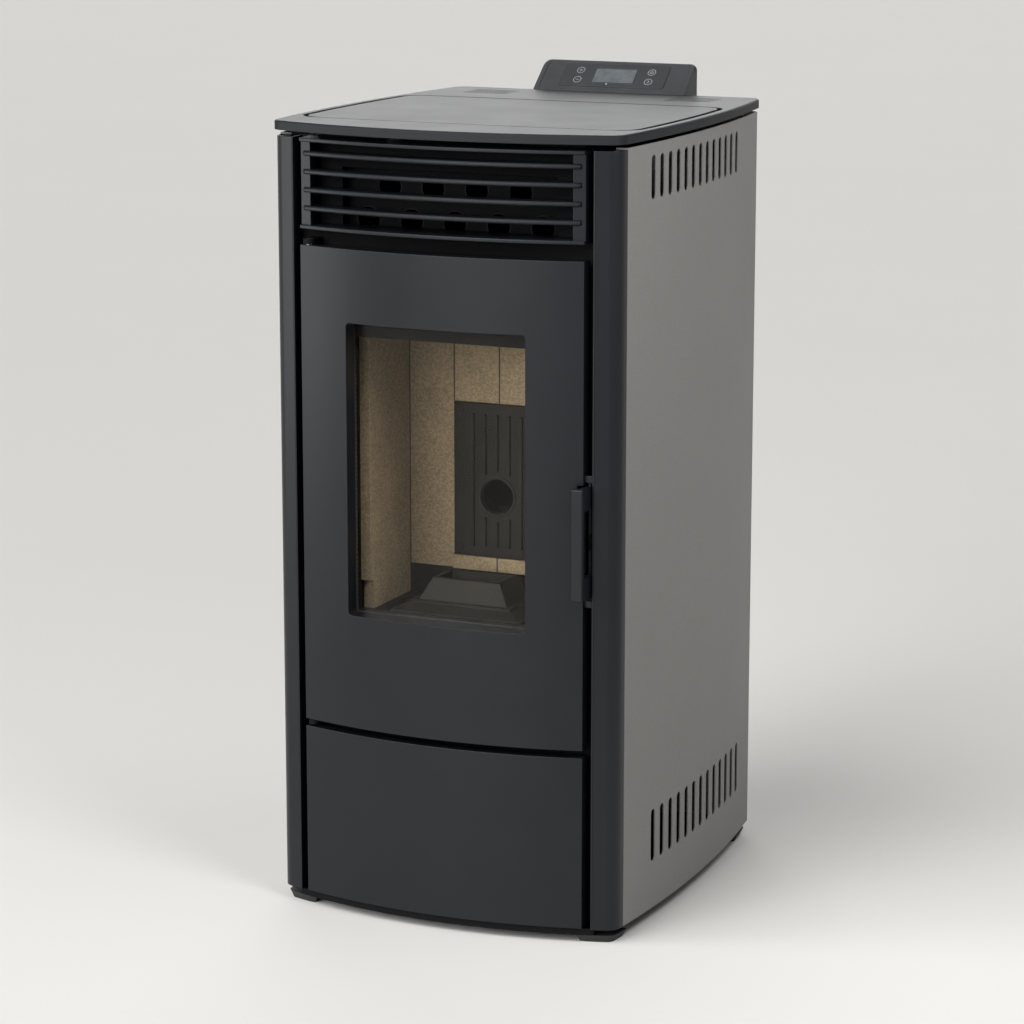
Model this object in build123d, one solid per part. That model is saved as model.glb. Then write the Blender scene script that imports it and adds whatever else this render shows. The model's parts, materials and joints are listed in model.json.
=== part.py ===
from build123d import *
import math
import os

# Free-standing pellet stove with a bowed front, a top lid for the pellets, a fire door with a window,
# an ash drawer behind the lower panel, and everything that feeds, burns, blows and exhausts inside.
# Millimetres, +Z up, the front looks along -Y. Every "depth" is measured backwards from the foremost
# line of the bowed front; the last section shifts the whole stove so that its origin is the middle of
# the bottom of its bounding box.

# ---------------------------------------------------------------- cabinet
FOOT_HEIGHT = 9.0
PLINTH_TOP = 17.0
TOP_PLATE_TOP = 957.0
COLUMN_DROP = 18.0
SIDE_PANEL_DROP = 16.0
COLUMN_TOP = TOP_PLATE_TOP - COLUMN_DROP
SIDE_PANEL_TOP = TOP_PLATE_TOP - SIDE_PANEL_DROP
TOP_PLATE_EDGE = 11.0
TOP_OVERHANG = 3.0
TOP_REAR_OVERHANG = 6.0
TOP_CHAMFER = 1.5
TOP_REAR_CORNER = 18.0
CABINET_DEPTH = 524.0
FRONT_HALF_WIDTH = 181.5
FRONT_BOW = 25.6
FRONT_GAP = 10.0
SIDE_SPLIT_DEPTH = 56.0
SIDE_HALF_WIDTH_FRONT = 222.0
SIDE_HALF_WIDTH_BACK = 206.0
SIDE_BOW = 14.5
CORNER_RADIUS = 18.0
REAR_CORNER_RADIUS = 4.0
PANEL_SHEET = 1.5
COLUMN_SHEET = 2.0
FRONT_SHEET = 3.0
FRAME_SHEET = 3.0
JOINT_LINE = 0.6
SHEET_PLAY = 1.0
RETURN_FLANGE = 14.0
PLINTH_INSET = 3.5
PLINTH_HALF_WIDTH = 194.0
PLINTH_LEDGE = 2.0
FOOT_INNER_X = 172.0
FOOT_LENGTH = 44.0
FOOT_FRONT_DEPTH = 30.0
FOOT_REAR_INSET = 8.0
FOOT_FLARE = 25.0
BULKHEAD_DEPTH = 52.0

# ---------------------------------------------------------------- side vents
SLOT_WIDTH = 11.5
SLOT_COUNT = 13
UPPER_SLOT_FIRST = 123.0
UPPER_SLOT_LAST = 411.0
UPPER_SLOT_MARGIN = 14.0
UPPER_SLOT_HEIGHT = 51.0
UPPER_SLOT_TOP = SIDE_PANEL_TOP - UPPER_SLOT_MARGIN
UPPER_SLOT_BOTTOM = UPPER_SLOT_TOP - UPPER_SLOT_HEIGHT
LOWER_SLOT_FIRST = 136.0
LOWER_SLOT_LAST = 450.0
LOWER_SLOT_BOTTOM = 76.0
LOWER_SLOT_TOP = 141.0

# ---------------------------------------------------------------- grille
GRILLE_HEIGHT = 107.0
GRILLE_BOTTOM = COLUMN_TOP - GRILLE_HEIGHT
GRILLE_STILE = 14.0
GRILLE_RAIL = 4.5
BLADE_COUNT = 4
BLADE_THICKNESS = 5.5
BLADE_PITCH = 21.4
BLADE_FIRST_RISE = 20.0
BLADE_CHORD = 26.0
BLADE_END_MARGIN = 4.5
BLADE_END_RADIUS = 5.0
BLADE_NOSE = 1.6
STILE_SETBACK = 4.0

# ---------------------------------------------------------------- fire door
DOOR_BOTTOM = 236.0
DOOR_HEAD_GAP = 19.0
DOOR_TOP = GRILLE_BOTTOM - DOOR_HEAD_GAP
DOOR_FLANGE = 15.0
WINDOW_HALF_WIDTH = 115.0
WINDOW_BOTTOM = 374.0
WINDOW_DROP = 87.0
WINDOW_TOP = DOOR_TOP - WINDOW_DROP
WINDOW_CORNER = 5.0
REVEAL_BACK = 32.0
GLASS_THICKNESS = 4.0
GLASS_MARGIN = 11.0
TAPE_THICKNESS = 1.2
INNER_FRAME_LAP = 3.0
INNER_FRAME_DROP = 20.0
INNER_FRAME_SHEET = 2.5
ROPE_WIDTH = 11.0
ROPE_MARGIN = 8.0
ROPE_ROUNDING = 3.0
BODY_GAP = 0.3
HINGE_INSET = 9.0
HINGE_AXIS_DEPTH = 31.0
HINGE_PIN_RADIUS = 4.0
HINGE_CLEARANCE = 0.05
HINGE_ENGAGEMENT = 6.0
HINGE_PLAY = 1.0
HINGE_ARM_WIDTH = 14.0

# ---------------------------------------------------------------- door handle and latch
HANDLE_BOTTOM = 420.0
HANDLE_HEIGHT = 132.0
HANDLE_WIDTH = 14.5
HANDLE_THICKNESS = 7.0
HANDLE_FRONT_DEPTH = 3.7
HANDLE_POST_HEIGHT = 27.0
HANDLE_OVERHANG = 3.0
HANDLE_AXIS_DEPTH = 35.0
HANDLE_HUB_RADIUS = 3.3
HANDLE_SHAFT_RADIUS = 2.5
HANDLE_NOTCH = 6.5
HANDLE_POST_WIDTH = 7.5
HANDLE_EDGE = 1.0
TAPE_MARGIN = 1.0
BEARING_HEIGHT = 8.0
BEARING_GAP = 4.0
CAM_HEIGHT = 20.0
CAM_REACH = 7.0
CAM_TIP_RADIUS = 1.8
LATCH_GAP = 0.4
LEAF_THICKNESS = 1.5

# ---------------------------------------------------------------- ash drawer
DRAWER_BOTTOM = 18.0
DRAWER_TOP = 227.0
PAN_HALF_WIDTH = 128.0
PAN_FRONT_DEPTH = 64.0
PAN_BACK_DEPTH = 318.0
PAN_BOTTOM = 36.0
PAN_TOP = 188.0
PAN_SHEET = 1.5
PAN_CORNER = 14.0
RUNNER_WIDTH = 12.0
RUNNER_HEIGHT = 24.0
RUNNER_SHEET = 1.5
RUNNER_CLEARANCE = 1.0
DRAWER_ROOM = 8.0

# ---------------------------------------------------------------- firebox
LINER_FACE = 121.0
LINER_THICKNESS = 13.0
LINER_FRONT_DEPTH = 84.0
LINER_BOTTOM = 400.0
FIREBOX_SHEET = 3.0
FIREBOX_FLOOR = 364.0
FIREBOX_DROP = 28.0
LINER_DROP = 41.0
FIREBOX_TOP = DOOR_TOP - FIREBOX_DROP
LINER_TOP = FIREBOX_TOP - LINER_DROP
BACK_FACE_DEPTH = 195.0
BACK_BOARD_WIDTH = 60.0
BOARD_JOINT = 0.8
BAFFLE_THICKNESS = 14.0
BAFFLE_FRONT_DEPTH = 92.0
BAFFLE_RISE = 24.0
IRON_HALF_WIDTH = 58.0
IRON_BOTTOM = 418.0
IRON_TOP = 608.0
IRON_THICKNESS = 7.0
PELLET_HOLE_RADIUS = 21.5
PELLET_HOLE_Z = 494.0
RIB_WIDTH = 3.4
RIB_DEPTH = 2.6
RIB_PITCH = 16.0
MOUTH_RIM = 1.2
PLATE_EDGE = 1.0
POT_DEPTH = 122.0
POT_TOP = 409.0
POT_TOP_HALF_X = 44.0
POT_TOP_HALF_Y = 24.5
POT_BASE_HALF_X = 58.0
POT_BASE_HALF_Y = 34.5
POT_FLANGE = 7.0
POT_FLANGE_THICKNESS = 3.0
POT_WALL = 5.0
POT_SLOT_COUNT = 7
POT_SLOT_WIDTH = 4.0
POT_SLOT_MARGIN = 3.0
POT_BOWL_SHARE = 0.4
CARRIER_TOP = 380.0
CARRIER_STEP = 9.0
CARRIER_TREAD = 3.0
CARRIER_HALF_X = 85.0
CARRIER_FRONT_DEPTH = 63.0
CARRIER_BACK_DEPTH = 180.0
AIR_HOLE_RADIUS = 26.0
ASH_SLOT_WIDTH = 22.0
ASH_SLOT_LENGTH = 70.0
AIR_BOX_DROP = 46.0
AIR_BOX_HALF_WIDTH = 66.0
AIR_BOX_HALF_DEPTH = 45.0
ASH_SLOT_GAP = 4.0
ASH_DUCT_GAP = 4.0
ASH_DUCT_MARGIN = 6.0
ASH_DUCT_FRONT_ROOM = 8.0
ASH_DUCT_BACK_ROOM = 24.0
SMOKE_PORT_HALF_WIDTH = 100.0
SMOKE_PORT_SETBACK = 8.0
SMOKE_PORT_DEPTH = 42.0
LINER_NOTCH = 8.0
IGNITER_RADIUS = 5.0
IGNITER_LENGTH = 120.0
IGNITER_Z = 390.0
CHUTE_DUCT_SHEET = 1.5

# ---------------------------------------------------------------- heat exchanger over the firebox
TUBE_RADIUS = 16.0
TUBE_WALL = 2.0
TUBE_PITCH = 56.0
TUBES_LOWER_ROW = 5
SMOKE_BOX_HALF_WIDTH = 150.0
SMOKE_BOX_FRONT = 68.0
SMOKE_BOX_BACK = 205.0
SMOKE_BOX_DROP = 50.0
SMOKE_BOX_TOP = TOP_PLATE_TOP - SMOKE_BOX_DROP
SMOKE_BOX_SHEET = 3.0
GRILLE_MOUTH_LAP = 12.0
LOWER_TUBE_RISE = 57.0
UPPER_TUBE_DROP = 25.0
LOWER_TUBE_Z = FIREBOX_TOP + LOWER_TUBE_RISE
UPPER_TUBE_Z = SMOKE_BOX_TOP - UPPER_TUBE_DROP
SMOKE_DUCT_X = -95.0
SMOKE_DUCT_WIDTH = 100.0
SMOKE_DUCT_DEPTH = 14.0
SMOKE_DUCT_GAP = 1.0
SMOKE_LEG_HEIGHT = 40.0
SMOKE_DUCT_SHEET = 2.0
SMOKE_LEG_TOP = 242.0

# ---------------------------------------------------------------- pellets: hopper, auger, gear motor
HOPPER_HALF_WIDTH = 150.0
HOPPER_FRONT = 228.0
HOPPER_BACK = 370.0
HOPPER_COLLAR = 10.0
HOPPER_KNEE = 782.0
HOPPER_SHEET = 2.0
HOPPER_OUTLET = 46.0
GUARD_WIRE = 5.0
GUARD_PITCH = 40.0
GUARD_RISE = 20.0
AUGER_REAR_ROOM = 102.5
AUGER_LOW_Z = 472.0
AUGER_TILT = 35.0
DROP_DEPTH = 278.3
DROP_MARGIN = 8.0
AUGER_TUBE_RADIUS = 29.0
AUGER_TUBE_WALL = 2.5
AUGER_FLIGHT_RADIUS = 24.5
AUGER_PITCH = 38.0
AUGER_SHAFT_RADIUS = 8.0
AUGER_FLIGHT_THICKNESS = 3.0
FLIGHT_STEPS = 16
FLIGHT_ROOT = 1.5
AUGER_RUNNING_CLEARANCE = 0.06
GEAR_MOTOR_RADIUS = 32.0
GEAR_MOTOR_LENGTH = 54.0
GEAR_BOX_SIZE = 58.0
GEAR_BOX_LENGTH = 20.0
GEAR_SHAFT = 8.0
NECK_FROM_LOW_END = 52.0
NECK_TOP = 544.0
CHUTE_RADIUS = 24.0
CHUTE_WALL = 2.0
CHUTE_RISE = 24.0

# ---------------------------------------------------------------- exhaust, blower and rear connections
FAN_REAR_ROOM = 48.5
FAN_Z = 140.0
FAN_CASE_RADIUS = 72.0
FAN_CASE_WIDTH = 52.0
FAN_CASE_WALL = 2.5
FAN_OUTLET = 12.0
IMPELLER_RADIUS = 56.0
IMPELLER_WIDTH = 28.0
IMPELLER_BLADES = 9
IMPELLER_BLADE = 2.2
WHEEL_DISC = 2.0
WHEEL_END_GAP = 3.0
WHEEL_SHAFT_GAP = 1.5
FAN_SHAFT_RADIUS = 5.0
FAN_MOTOR_RADIUS = 35.0
FAN_MOTOR_LENGTH = 66.0
FAN_MOTOR_FINS = 3
MOTOR_CORE_SHARE = 0.8
FLUE_RADIUS = 40.0
FLUE_WALL = 2.0
FLUE_STUB = 54.0
PIPE_SHOULDER = 0.7
BLOWER_REAR_ROOM = 24.5
BLOWER_SHAFT_RADIUS = 4.0
BLOWER_MOUTH_LIP = 14.0
BLOWER_MOUTH_BACK = 6.0
BLOWER_Z = 280.0
BLOWER_CASE_RADIUS = 36.0
BLOWER_ROTOR_RADIUS = 27.0
BLOWER_LENGTH = 230.0
BLOWER_BLADES = 14
BLOWER_VANE = 7.0
BLOWER_VANE_SHEET = 1.2
BLOWER_VANE_TURN = 30.0
BLOWER_MOTOR_RADIUS = 32.0
BLOWER_MOTOR_LENGTH = 50.0
MOTOR_BEVEL = 5.0
INTAKE_X = 40.0
INTAKE_RADIUS = 20.0
INTAKE_WALL = 1.5
INTAKE_STUB = 30.0
REAR_VENT_WIDTH = 5.0
REAR_VENT_LENGTH = 90.0
REAR_VENT_COUNT = 6
REAR_VENT_LOW = 652.0
REAR_VENT_X = 80.0
INLET_X = -140.0
INLET_Z = 112.0
INLET_WIDTH = 31.0
INLET_HEIGHT = 52.0
INLET_BEZEL = 3.0
INLET_BODY_DEPTH = 26.0
MOUTH_WIDTH = 24.0
MOUTH_HEIGHT = 17.0
MOUTH_DEPTH = 16.0
CONTACT_PITCH = 6.5
CONTACT_STEP = 2.5
CONTACT_SHEET = 2.0
SWITCH_WIDTH = 17.0
SWITCH_RADIUS = 8.0
SWITCH_GAP = 0.4
BOARD_WIDTH = 130.0
BOARD_HEIGHT = 160.0
BOARD_Z = 552.0
BOARD_INNER_X = -36.0
BOARD_STANDOFF = 16.0
BOARD_MARGIN = 8.0
BOARD_TALL = 30.0
STANDOFF_RADIUS = 3.5
TRANSFORMER = 38.0
RELAY_COUNT = 4
RELAY_SHARE = 0.75

# ---------------------------------------------------------------- top: lid, deck, console
LID_INSET = 17.0
LID_FRONT_DEPTH = 83.0
LID_BACK_DEPTH = 390.0
LID_FRONT_BOW = 6.0
LID_CORNER = 30.0
LID_REAR_CORNER = 24.0
LID_SHEET = 2.0
LID_SIDE_GAP = 7.0
LID_FRONT_GAP = 2.5
LID_BACK_GAP = 5.0
LID_RIM = 7.0
LID_AXIS_DROP = 6.2
LID_PIN_RADIUS = 1.5
LID_KNUCKLE_RADIUS = 3.2
LID_KNUCKLE_LENGTH = 26.0
LID_KNUCKLE_X = 120.0
LID_EAR = 3.0
LID_EAR_LENGTH = 8.0
LID_NECK_DROP = 0.4
LID_NECK_THICKNESS = 5.0
LID_SIDE_CLEARANCE = 0.3
LID_RANGE_ROOM = 1.0
TOP_SHEET = 2.5
DECK_DROP = 23.0
DECK_SHEET = 2.0
SEAT_INNER_X = 90.0
SEAT_LENGTH = 80.0
SEAT_WIDTH = 14.0
SEAL_THICKNESS = 6.0
REAR_SLOT_LENGTH = 62.0
REAR_SLOT_WIDTH = 4.0
REAR_SLOT_COUNT = 4
REAR_SLOT_X = 138.0
REAR_SLOT_MARGIN = 36.0
REAR_SLOT_PITCH = 13.0
CONSOLE_WIDTH = 208.0
CONSOLE_DROP = 22.0
CONSOLE_RIM = 6.0
CONSOLE_RECESS = 0.8
FASCIA_RISE = 1.7
CONSOLE_BASE = 46.0
CONSOLE_HEIGHT = 35.0
CONSOLE_LEAN = 42.0
CONSOLE_CORNER = 8.0
FASCIA_WIDTH = 144.0
FASCIA_HEIGHT = 40.0
FASCIA_THICKNESS = 0.8
DISPLAY_WIDTH = 56.0
DISPLAY_HEIGHT = 24.0
DISPLAY_CORNER = 1.5


# ---------------------------------------------------------------- shared forms
def block(x0, x1, y0, y1, z0, z1):
    """A box between six coordinates."""
    middle = Pos((x0 + x1) / 2, (y0 + y1) / 2, (z0 + z1) / 2)
    return middle * Box(x1 - x0, y1 - y0, z1 - z0)


def rod(radius, start, end):
    """A round bar between two points."""
    along = Vector(*end) - Vector(*start)
    return extrude(Plane(origin=start, z_dir=along) * Circle(radius), along.length)


def tube(radius, wall, start, end):
    """A round tube between two points."""
    return rod(radius, start, end) - rod(radius - wall, start, end)


def raise_face(face, z0, z1):
    """A level face drawn at z = 0, turned into a solid between two heights."""
    return extrude(Pos(0, 0, z0) * face, z1 - z0, dir=(0, 0, 1))


def window_ring(half_x, low, high, band, front, back, corner):
    """A flat upright ring: an opening half_x wide from low to high, with a band around it."""
    height = high - low
    centre = Plane(origin=(0, back, (low + high) / 2), x_dir=(1, 0, 0), z_dir=(0, -1, 0))
    outer = centre * RectangleRounded(2 * (half_x + band), height + 2 * band, corner + band)
    inner = centre * RectangleRounded(2 * half_x, height, corner)
    return extrude(outer, back - front) - extrude(inner, back - front)


FRONT_RADIUS = (FRONT_HALF_WIDTH ** 2 + FRONT_BOW ** 2) / (2 * FRONT_BOW)


def bow_depth(x, behind=0.0):
    """Depth of the bowed front at x, or of a surface parallel to it some way behind."""
    return FRONT_RADIUS - math.sqrt((FRONT_RADIUS - behind) ** 2 - x ** 2)


def bow_face(half_x, front, back):
    """Plan of a bowed strip between two surfaces parallel to the front."""
    outer = ThreePointArc(
        (-half_x, bow_depth(half_x, front)), (0, front), (half_x, bow_depth(half_x, front)))
    inner = ThreePointArc(
        (half_x, bow_depth(half_x, back)), (0, back), (-half_x, bow_depth(half_x, back)))
    right = Line(outer @ 1, inner @ 0)
    left = Line(inner @ 1, outer @ 0)
    return make_face([outer, right, inner, left])


def bow_to_flat(half_x, front, back):
    """Plan between a surface parallel to the bowed front and a flat back at the given depth."""
    outer = ThreePointArc(
        (-half_x, bow_depth(half_x, front)), (0, front), (half_x, bow_depth(half_x, front)))
    right = Line(outer @ 1, (half_x, back))
    rear = Line((half_x, back), (-half_x, back))
    left = Line((-half_x, back), outer @ 0)
    return make_face([outer, right, rear, left])


def side_circle():
    """Centre and radius of the right side's bow, seen from above."""
    front = Vector(SIDE_HALF_WIDTH_FRONT, SIDE_SPLIT_DEPTH)
    back = Vector(SIDE_HALF_WIDTH_BACK, CABINET_DEPTH)
    chord = back - front
    radius = (chord.length ** 2 / 4 + SIDE_BOW ** 2) / (2 * SIDE_BOW)
    inward = Vector(-chord.Y, chord.X) / chord.length
    centre = (front + back) / 2 + inward * (radius - SIDE_BOW)
    return centre, radius


SIDE_CENTRE, SIDE_RADIUS = side_circle()
CLEAR_OF_SIDE = 2 * SIDE_HALF_WIDTH_FRONT


def side_x(depth, out=0.0):
    """Half width of the bowed side at a depth."""
    return SIDE_CENTRE.X + math.sqrt((SIDE_RADIUS + out) ** 2 - (depth - SIDE_CENTRE.Y) ** 2)


def corner_point(out):
    """Where the bowed front and the bowed side would meet without the rounded corner."""
    x = SIDE_HALF_WIDTH_FRONT
    for _ in range(40):
        x = side_x(bow_depth(x, -out), out)
    return x, bow_depth(x, -out)


def outline(out=0.0, rear=CABINET_DEPTH, corner=CORNER_RADIUS, rear_corner=REAR_CORNER_RADIUS):
    """Plan of the whole cabinet, grown outwards by out, with its rear edge at the depth rear."""
    x, y = corner_point(out)
    rear_x = side_x(rear, out)
    middle = (y + rear) / 2
    middle_x = side_x(middle, out)
    front = ThreePointArc((-x, y), (0, -out), (x, y))
    right = ThreePointArc((x, y), (middle_x, middle), (rear_x, rear))
    back = Line((rear_x, rear), (-rear_x, rear))
    left = ThreePointArc((-rear_x, rear), (-middle_x, middle), (-x, y))
    face = make_face([front, right, back, left])
    ends = face.vertices().sort_by(Axis.Y)
    face = fillet(ends[0:2], corner + out)
    ends = [v for v in face.vertices() if abs(v.Y - rear) < 0.01]
    return fillet(ends, rear_corner)


parts = {}


def mirrored(name_left, name_right, solid):
    """Keep a right-hand piece and its mirror image."""
    parts[name_right] = solid
    parts[name_left] = mirror(solid, Plane.YZ)


# ---------------------------------------------------------------- feet and plinth
def feet():
    """Four low feet that follow the cabinet's corners and taper towards the floor."""
    rear = CABINET_DEPTH - FOOT_REAR_INSET
    solids = []
    for front in (FOOT_FRONT_DEPTH, rear - FOOT_LENGTH):
        zone = make_face(Polyline(
            (FOOT_INNER_X, front), (CLEAR_OF_SIDE, front), (CLEAR_OF_SIDE, front + FOOT_LENGTH),
            (FOOT_INNER_X, front + FOOT_LENGTH), close=True))
        top = Pos(0, 0, FOOT_HEIGHT) * (outline(-PLINTH_INSET) & zone)
        foot = extrude(top, FOOT_HEIGHT, dir=(0, 0, -1), taper=FOOT_FLARE)
        solids += [foot, mirror(foot, Plane.YZ)]
    return Compound(children=solids)


def base_pan():
    """Tray under the cabinet, narrower than the sides, with a ledge that the panels stand on."""
    def plan(inset):
        half = PLINTH_HALF_WIDTH - inset
        return outline(-PLINTH_INSET - inset) & Rectangle(2 * half, 2 * (CABINET_DEPTH - inset))

    tray = raise_face(plan(0), FOOT_HEIGHT, PLINTH_TOP)
    tray += raise_face(outline(-PLINTH_INSET), PLINTH_TOP - PLINTH_LEDGE, PLINTH_TOP)
    return tray - raise_face(plan(FRAME_SHEET), FOOT_HEIGHT + FRAME_SHEET, PLINTH_TOP)


parts["feet"] = feet()
parts["base_pan"] = base_pan()


# ---------------------------------------------------------------- corner columns and side panels
COLUMN_INNER_X = FRONT_HALF_WIDTH + FRONT_GAP
REAR_HALF_X = side_x(CABINET_DEPTH) - REAR_CORNER_RADIUS - RETURN_FLANGE


def column():
    """Rounded front corner with a return flange back to the bulkhead and one along the side panel."""
    skin = outline() - outline(-COLUMN_SHEET)
    corner_zone = make_face(Polyline(
        (COLUMN_INNER_X, 0), (CLEAR_OF_SIDE, 0), (CLEAR_OF_SIDE, SIDE_SPLIT_DEPTH),
        (COLUMN_INNER_X, SIDE_SPLIT_DEPTH), close=True))
    skin = skin & corner_zone
    solid = raise_face(skin, PLINTH_TOP, COLUMN_TOP)
    nose = bow_depth(COLUMN_INNER_X)
    solid += block(COLUMN_INNER_X, COLUMN_INNER_X + COLUMN_SHEET,
                   nose, BULKHEAD_DEPTH + FRAME_SHEET, PLINTH_TOP, COLUMN_TOP)
    outer_x = side_x(SIDE_SPLIT_DEPTH) - COLUMN_SHEET / 2
    solid += block(outer_x - RETURN_FLANGE, outer_x,
                   SIDE_SPLIT_DEPTH - COLUMN_SHEET, SIDE_SPLIT_DEPTH, PLINTH_TOP, COLUMN_TOP)
    return solid


def slot_depths(first, last):
    return [first + (last - first) * i / (SLOT_COUNT - 1) for i in range(SLOT_COUNT)]


def vent_slots(first, last, low, high):
    """Cutter for one row of upright slots with round ends."""
    cutter = None
    for depth in slot_depths(first, last):
        place = Plane(origin=(REAR_HALF_X, depth, (low + high) / 2), x_dir=(0, 0, 1), z_dir=(1, 0, 0))
        one = extrude(place * SlotOverall(high - low, SLOT_WIDTH), CLEAR_OF_SIDE)
        cutter = one if cutter is None else cutter + one
    return cutter


def side_panel():
    """Bowed sheet side with folded front and rear edges and two rows of slots."""
    front = SIDE_SPLIT_DEPTH + JOINT_LINE
    zone = make_face(Polyline(
        (REAR_HALF_X, front), (CLEAR_OF_SIDE, front), (CLEAR_OF_SIDE, CABINET_DEPTH),
        (REAR_HALF_X, CABINET_DEPTH), close=True))
    inside = outline(-PANEL_SHEET, CABINET_DEPTH - PANEL_SHEET,
                     rear_corner=REAR_CORNER_RADIUS - PANEL_SHEET)
    solid = raise_face((outline() - inside) & zone, PLINTH_TOP, SIDE_PANEL_TOP)
    front_x = side_x(front) - PANEL_SHEET / 2
    solid += block(front_x - RETURN_FLANGE, front_x, front, front + PANEL_SHEET,
                   PLINTH_TOP, SIDE_PANEL_TOP)
    solid -= vent_slots(UPPER_SLOT_FIRST, UPPER_SLOT_LAST, UPPER_SLOT_BOTTOM, UPPER_SLOT_TOP)
    solid -= vent_slots(LOWER_SLOT_FIRST, LOWER_SLOT_LAST, LOWER_SLOT_BOTTOM, LOWER_SLOT_TOP)
    return solid


mirrored("left_column", "right_column", column())
mirrored("left_side_panel", "right_side_panel", side_panel())

# ---------------------------------------------------------------- bulkhead and rear panel
BULKHEAD_BACK = BULKHEAD_DEPTH + FRAME_SHEET
DECK_TOP = TOP_PLATE_TOP - DECK_DROP
SHELL_INNER_X = LINER_FACE + LINER_THICKNESS
SHELL_OUTER_X = SHELL_INNER_X + FIREBOX_SHEET
GRILLE_TOP = COLUMN_TOP
GRILLE_OPEN_X = FRONT_HALF_WIDTH - GRILLE_STILE
GRILLE_OPEN_LOW = GRILLE_BOTTOM + GRILLE_RAIL
GRILLE_OPEN_HIGH = GRILLE_TOP - GRILLE_RAIL
BULKHEAD_TOP = DECK_TOP - DECK_SHEET
REAR_INNER = CABINET_DEPTH - PANEL_SHEET


def bulkhead():
    """Black plate behind the fronts, open for the drawer, the firebox and the grille."""
    plate = block(-COLUMN_INNER_X, COLUMN_INNER_X, BULKHEAD_DEPTH, BULKHEAD_BACK,
                  PLINTH_TOP, BULKHEAD_TOP)
    plate -= block(-PAN_HALF_WIDTH - 2 * RUNNER_WIDTH, PAN_HALF_WIDTH + 2 * RUNNER_WIDTH,
                   BULKHEAD_DEPTH, BULKHEAD_BACK, PAN_BOTTOM - DRAWER_ROOM, PAN_TOP + DRAWER_ROOM)
    plate -= block(-SHELL_INNER_X, SHELL_INNER_X, BULKHEAD_DEPTH, BULKHEAD_BACK,
                   FIREBOX_FLOOR, FIREBOX_TOP - FIREBOX_SHEET)
    half = SMOKE_BOX_HALF_WIDTH - GRILLE_MOUTH_LAP
    plate -= block(-half, half, BULKHEAD_DEPTH, BULKHEAD_BACK,
                   GRILLE_OPEN_LOW, SMOKE_BOX_TOP - SMOKE_BOX_SHEET)
    return plate


FLUE_Z = FAN_Z + FAN_CASE_RADIUS - FLUE_RADIUS
INTAKE_Z = FIREBOX_FLOOR - FIREBOX_SHEET - AIR_BOX_DROP / 2


def rear_panel():
    """Flat rear sheet between the side panels' folded edges, with its louvre slots and openings."""
    plate = block(-REAR_HALF_X, REAR_HALF_X, REAR_INNER, CABINET_DEPTH, PLINTH_TOP, SIDE_PANEL_TOP)
    plate -= rod(FLUE_RADIUS - PIPE_SHOULDER, (0, REAR_INNER, FLUE_Z), (0, CABINET_DEPTH, FLUE_Z))
    plate -= rod(INTAKE_RADIUS - PIPE_SHOULDER, (INTAKE_X, REAR_INNER, INTAKE_Z),
                 (INTAKE_X, CABINET_DEPTH, INTAKE_Z))
    plate -= block(INLET_X - INLET_WIDTH / 2, INLET_X + INLET_WIDTH / 2, REAR_INNER, CABINET_DEPTH,
                   INLET_Z - INLET_HEIGHT / 2, INLET_Z + INLET_HEIGHT / 2)
    for i in range(REAR_VENT_COUNT):
        z = REAR_VENT_LOW + i * 4 * REAR_VENT_WIDTH
        for side in (-1, 1):
            place = Plane(origin=(side * REAR_VENT_X, REAR_INNER, z), x_dir=(1, 0, 0), z_dir=(0, 1, 0))
            plate -= extrude(place * SlotOverall(REAR_VENT_LENGTH, REAR_VENT_WIDTH), PANEL_SHEET)
    return plate


parts["bulkhead"] = bulkhead()
parts["rear_panel"] = rear_panel()


# ---------------------------------------------------------------- warm air grille
BLADE_HALF_X = FRONT_HALF_WIDTH - BLADE_END_MARGIN


def blade_levels():
    """Underside heights of the blades over the opening."""
    first = GRILLE_OPEN_LOW + BLADE_FIRST_RISE - BLADE_THICKNESS / 2
    return [first + i * BLADE_PITCH for i in range(BLADE_COUNT)]


def blade_plan():
    """Plan of one blade: flush with the bowed front, with rounded front corners."""
    face = bow_face(BLADE_HALF_X, 0, BLADE_CHORD)
    return fillet(face.vertices().sort_by(Axis.Y)[0:2], BLADE_END_RADIUS)


def grille_frame():
    """Bowed frame: rails flush with the front, stiles set back behind the blades' ends."""
    stiles = raise_face(bow_to_flat(FRONT_HALF_WIDTH, STILE_SETBACK, BULKHEAD_DEPTH),
                        GRILLE_BOTTOM, GRILLE_TOP)
    stiles -= block(-GRILLE_OPEN_X, GRILLE_OPEN_X, 0, BULKHEAD_DEPTH, GRILLE_BOTTOM, GRILLE_TOP)
    frame = stiles
    for low, high in ((GRILLE_BOTTOM, GRILLE_OPEN_LOW), (GRILLE_OPEN_HIGH, GRILLE_TOP)):
        rail = raise_face(bow_to_flat(FRONT_HALF_WIDTH, 0, BULKHEAD_DEPTH), low, high)
        nose = rail.faces().sort_by(Axis.Y)[0].edges().filter_by(GeomType.CIRCLE)
        frame += chamfer(nose, BLADE_NOSE / 2)
    for low in blade_levels():
        frame -= raise_face(blade_plan(), low, low + BLADE_THICKNESS)
    return frame


def grille_blades():
    """Bowed blades with a bevelled nose, let into the stiles and crossing them at both ends."""
    solids = []
    for low in blade_levels():
        blade = raise_face(blade_plan(), low, low + BLADE_THICKNESS)
        nose = [e for e in blade.edges().filter_by(GeomType.CIRCLE)
                if e.center().Y < bow_depth(BLADE_HALF_X) + BLADE_END_RADIUS and abs(e.length) > 1]
        solids.append(chamfer(nose, BLADE_NOSE))
    return Compound(children=solids)


parts["grille_frame"] = grille_frame()
parts["grille_blades"] = grille_blades()


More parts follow.
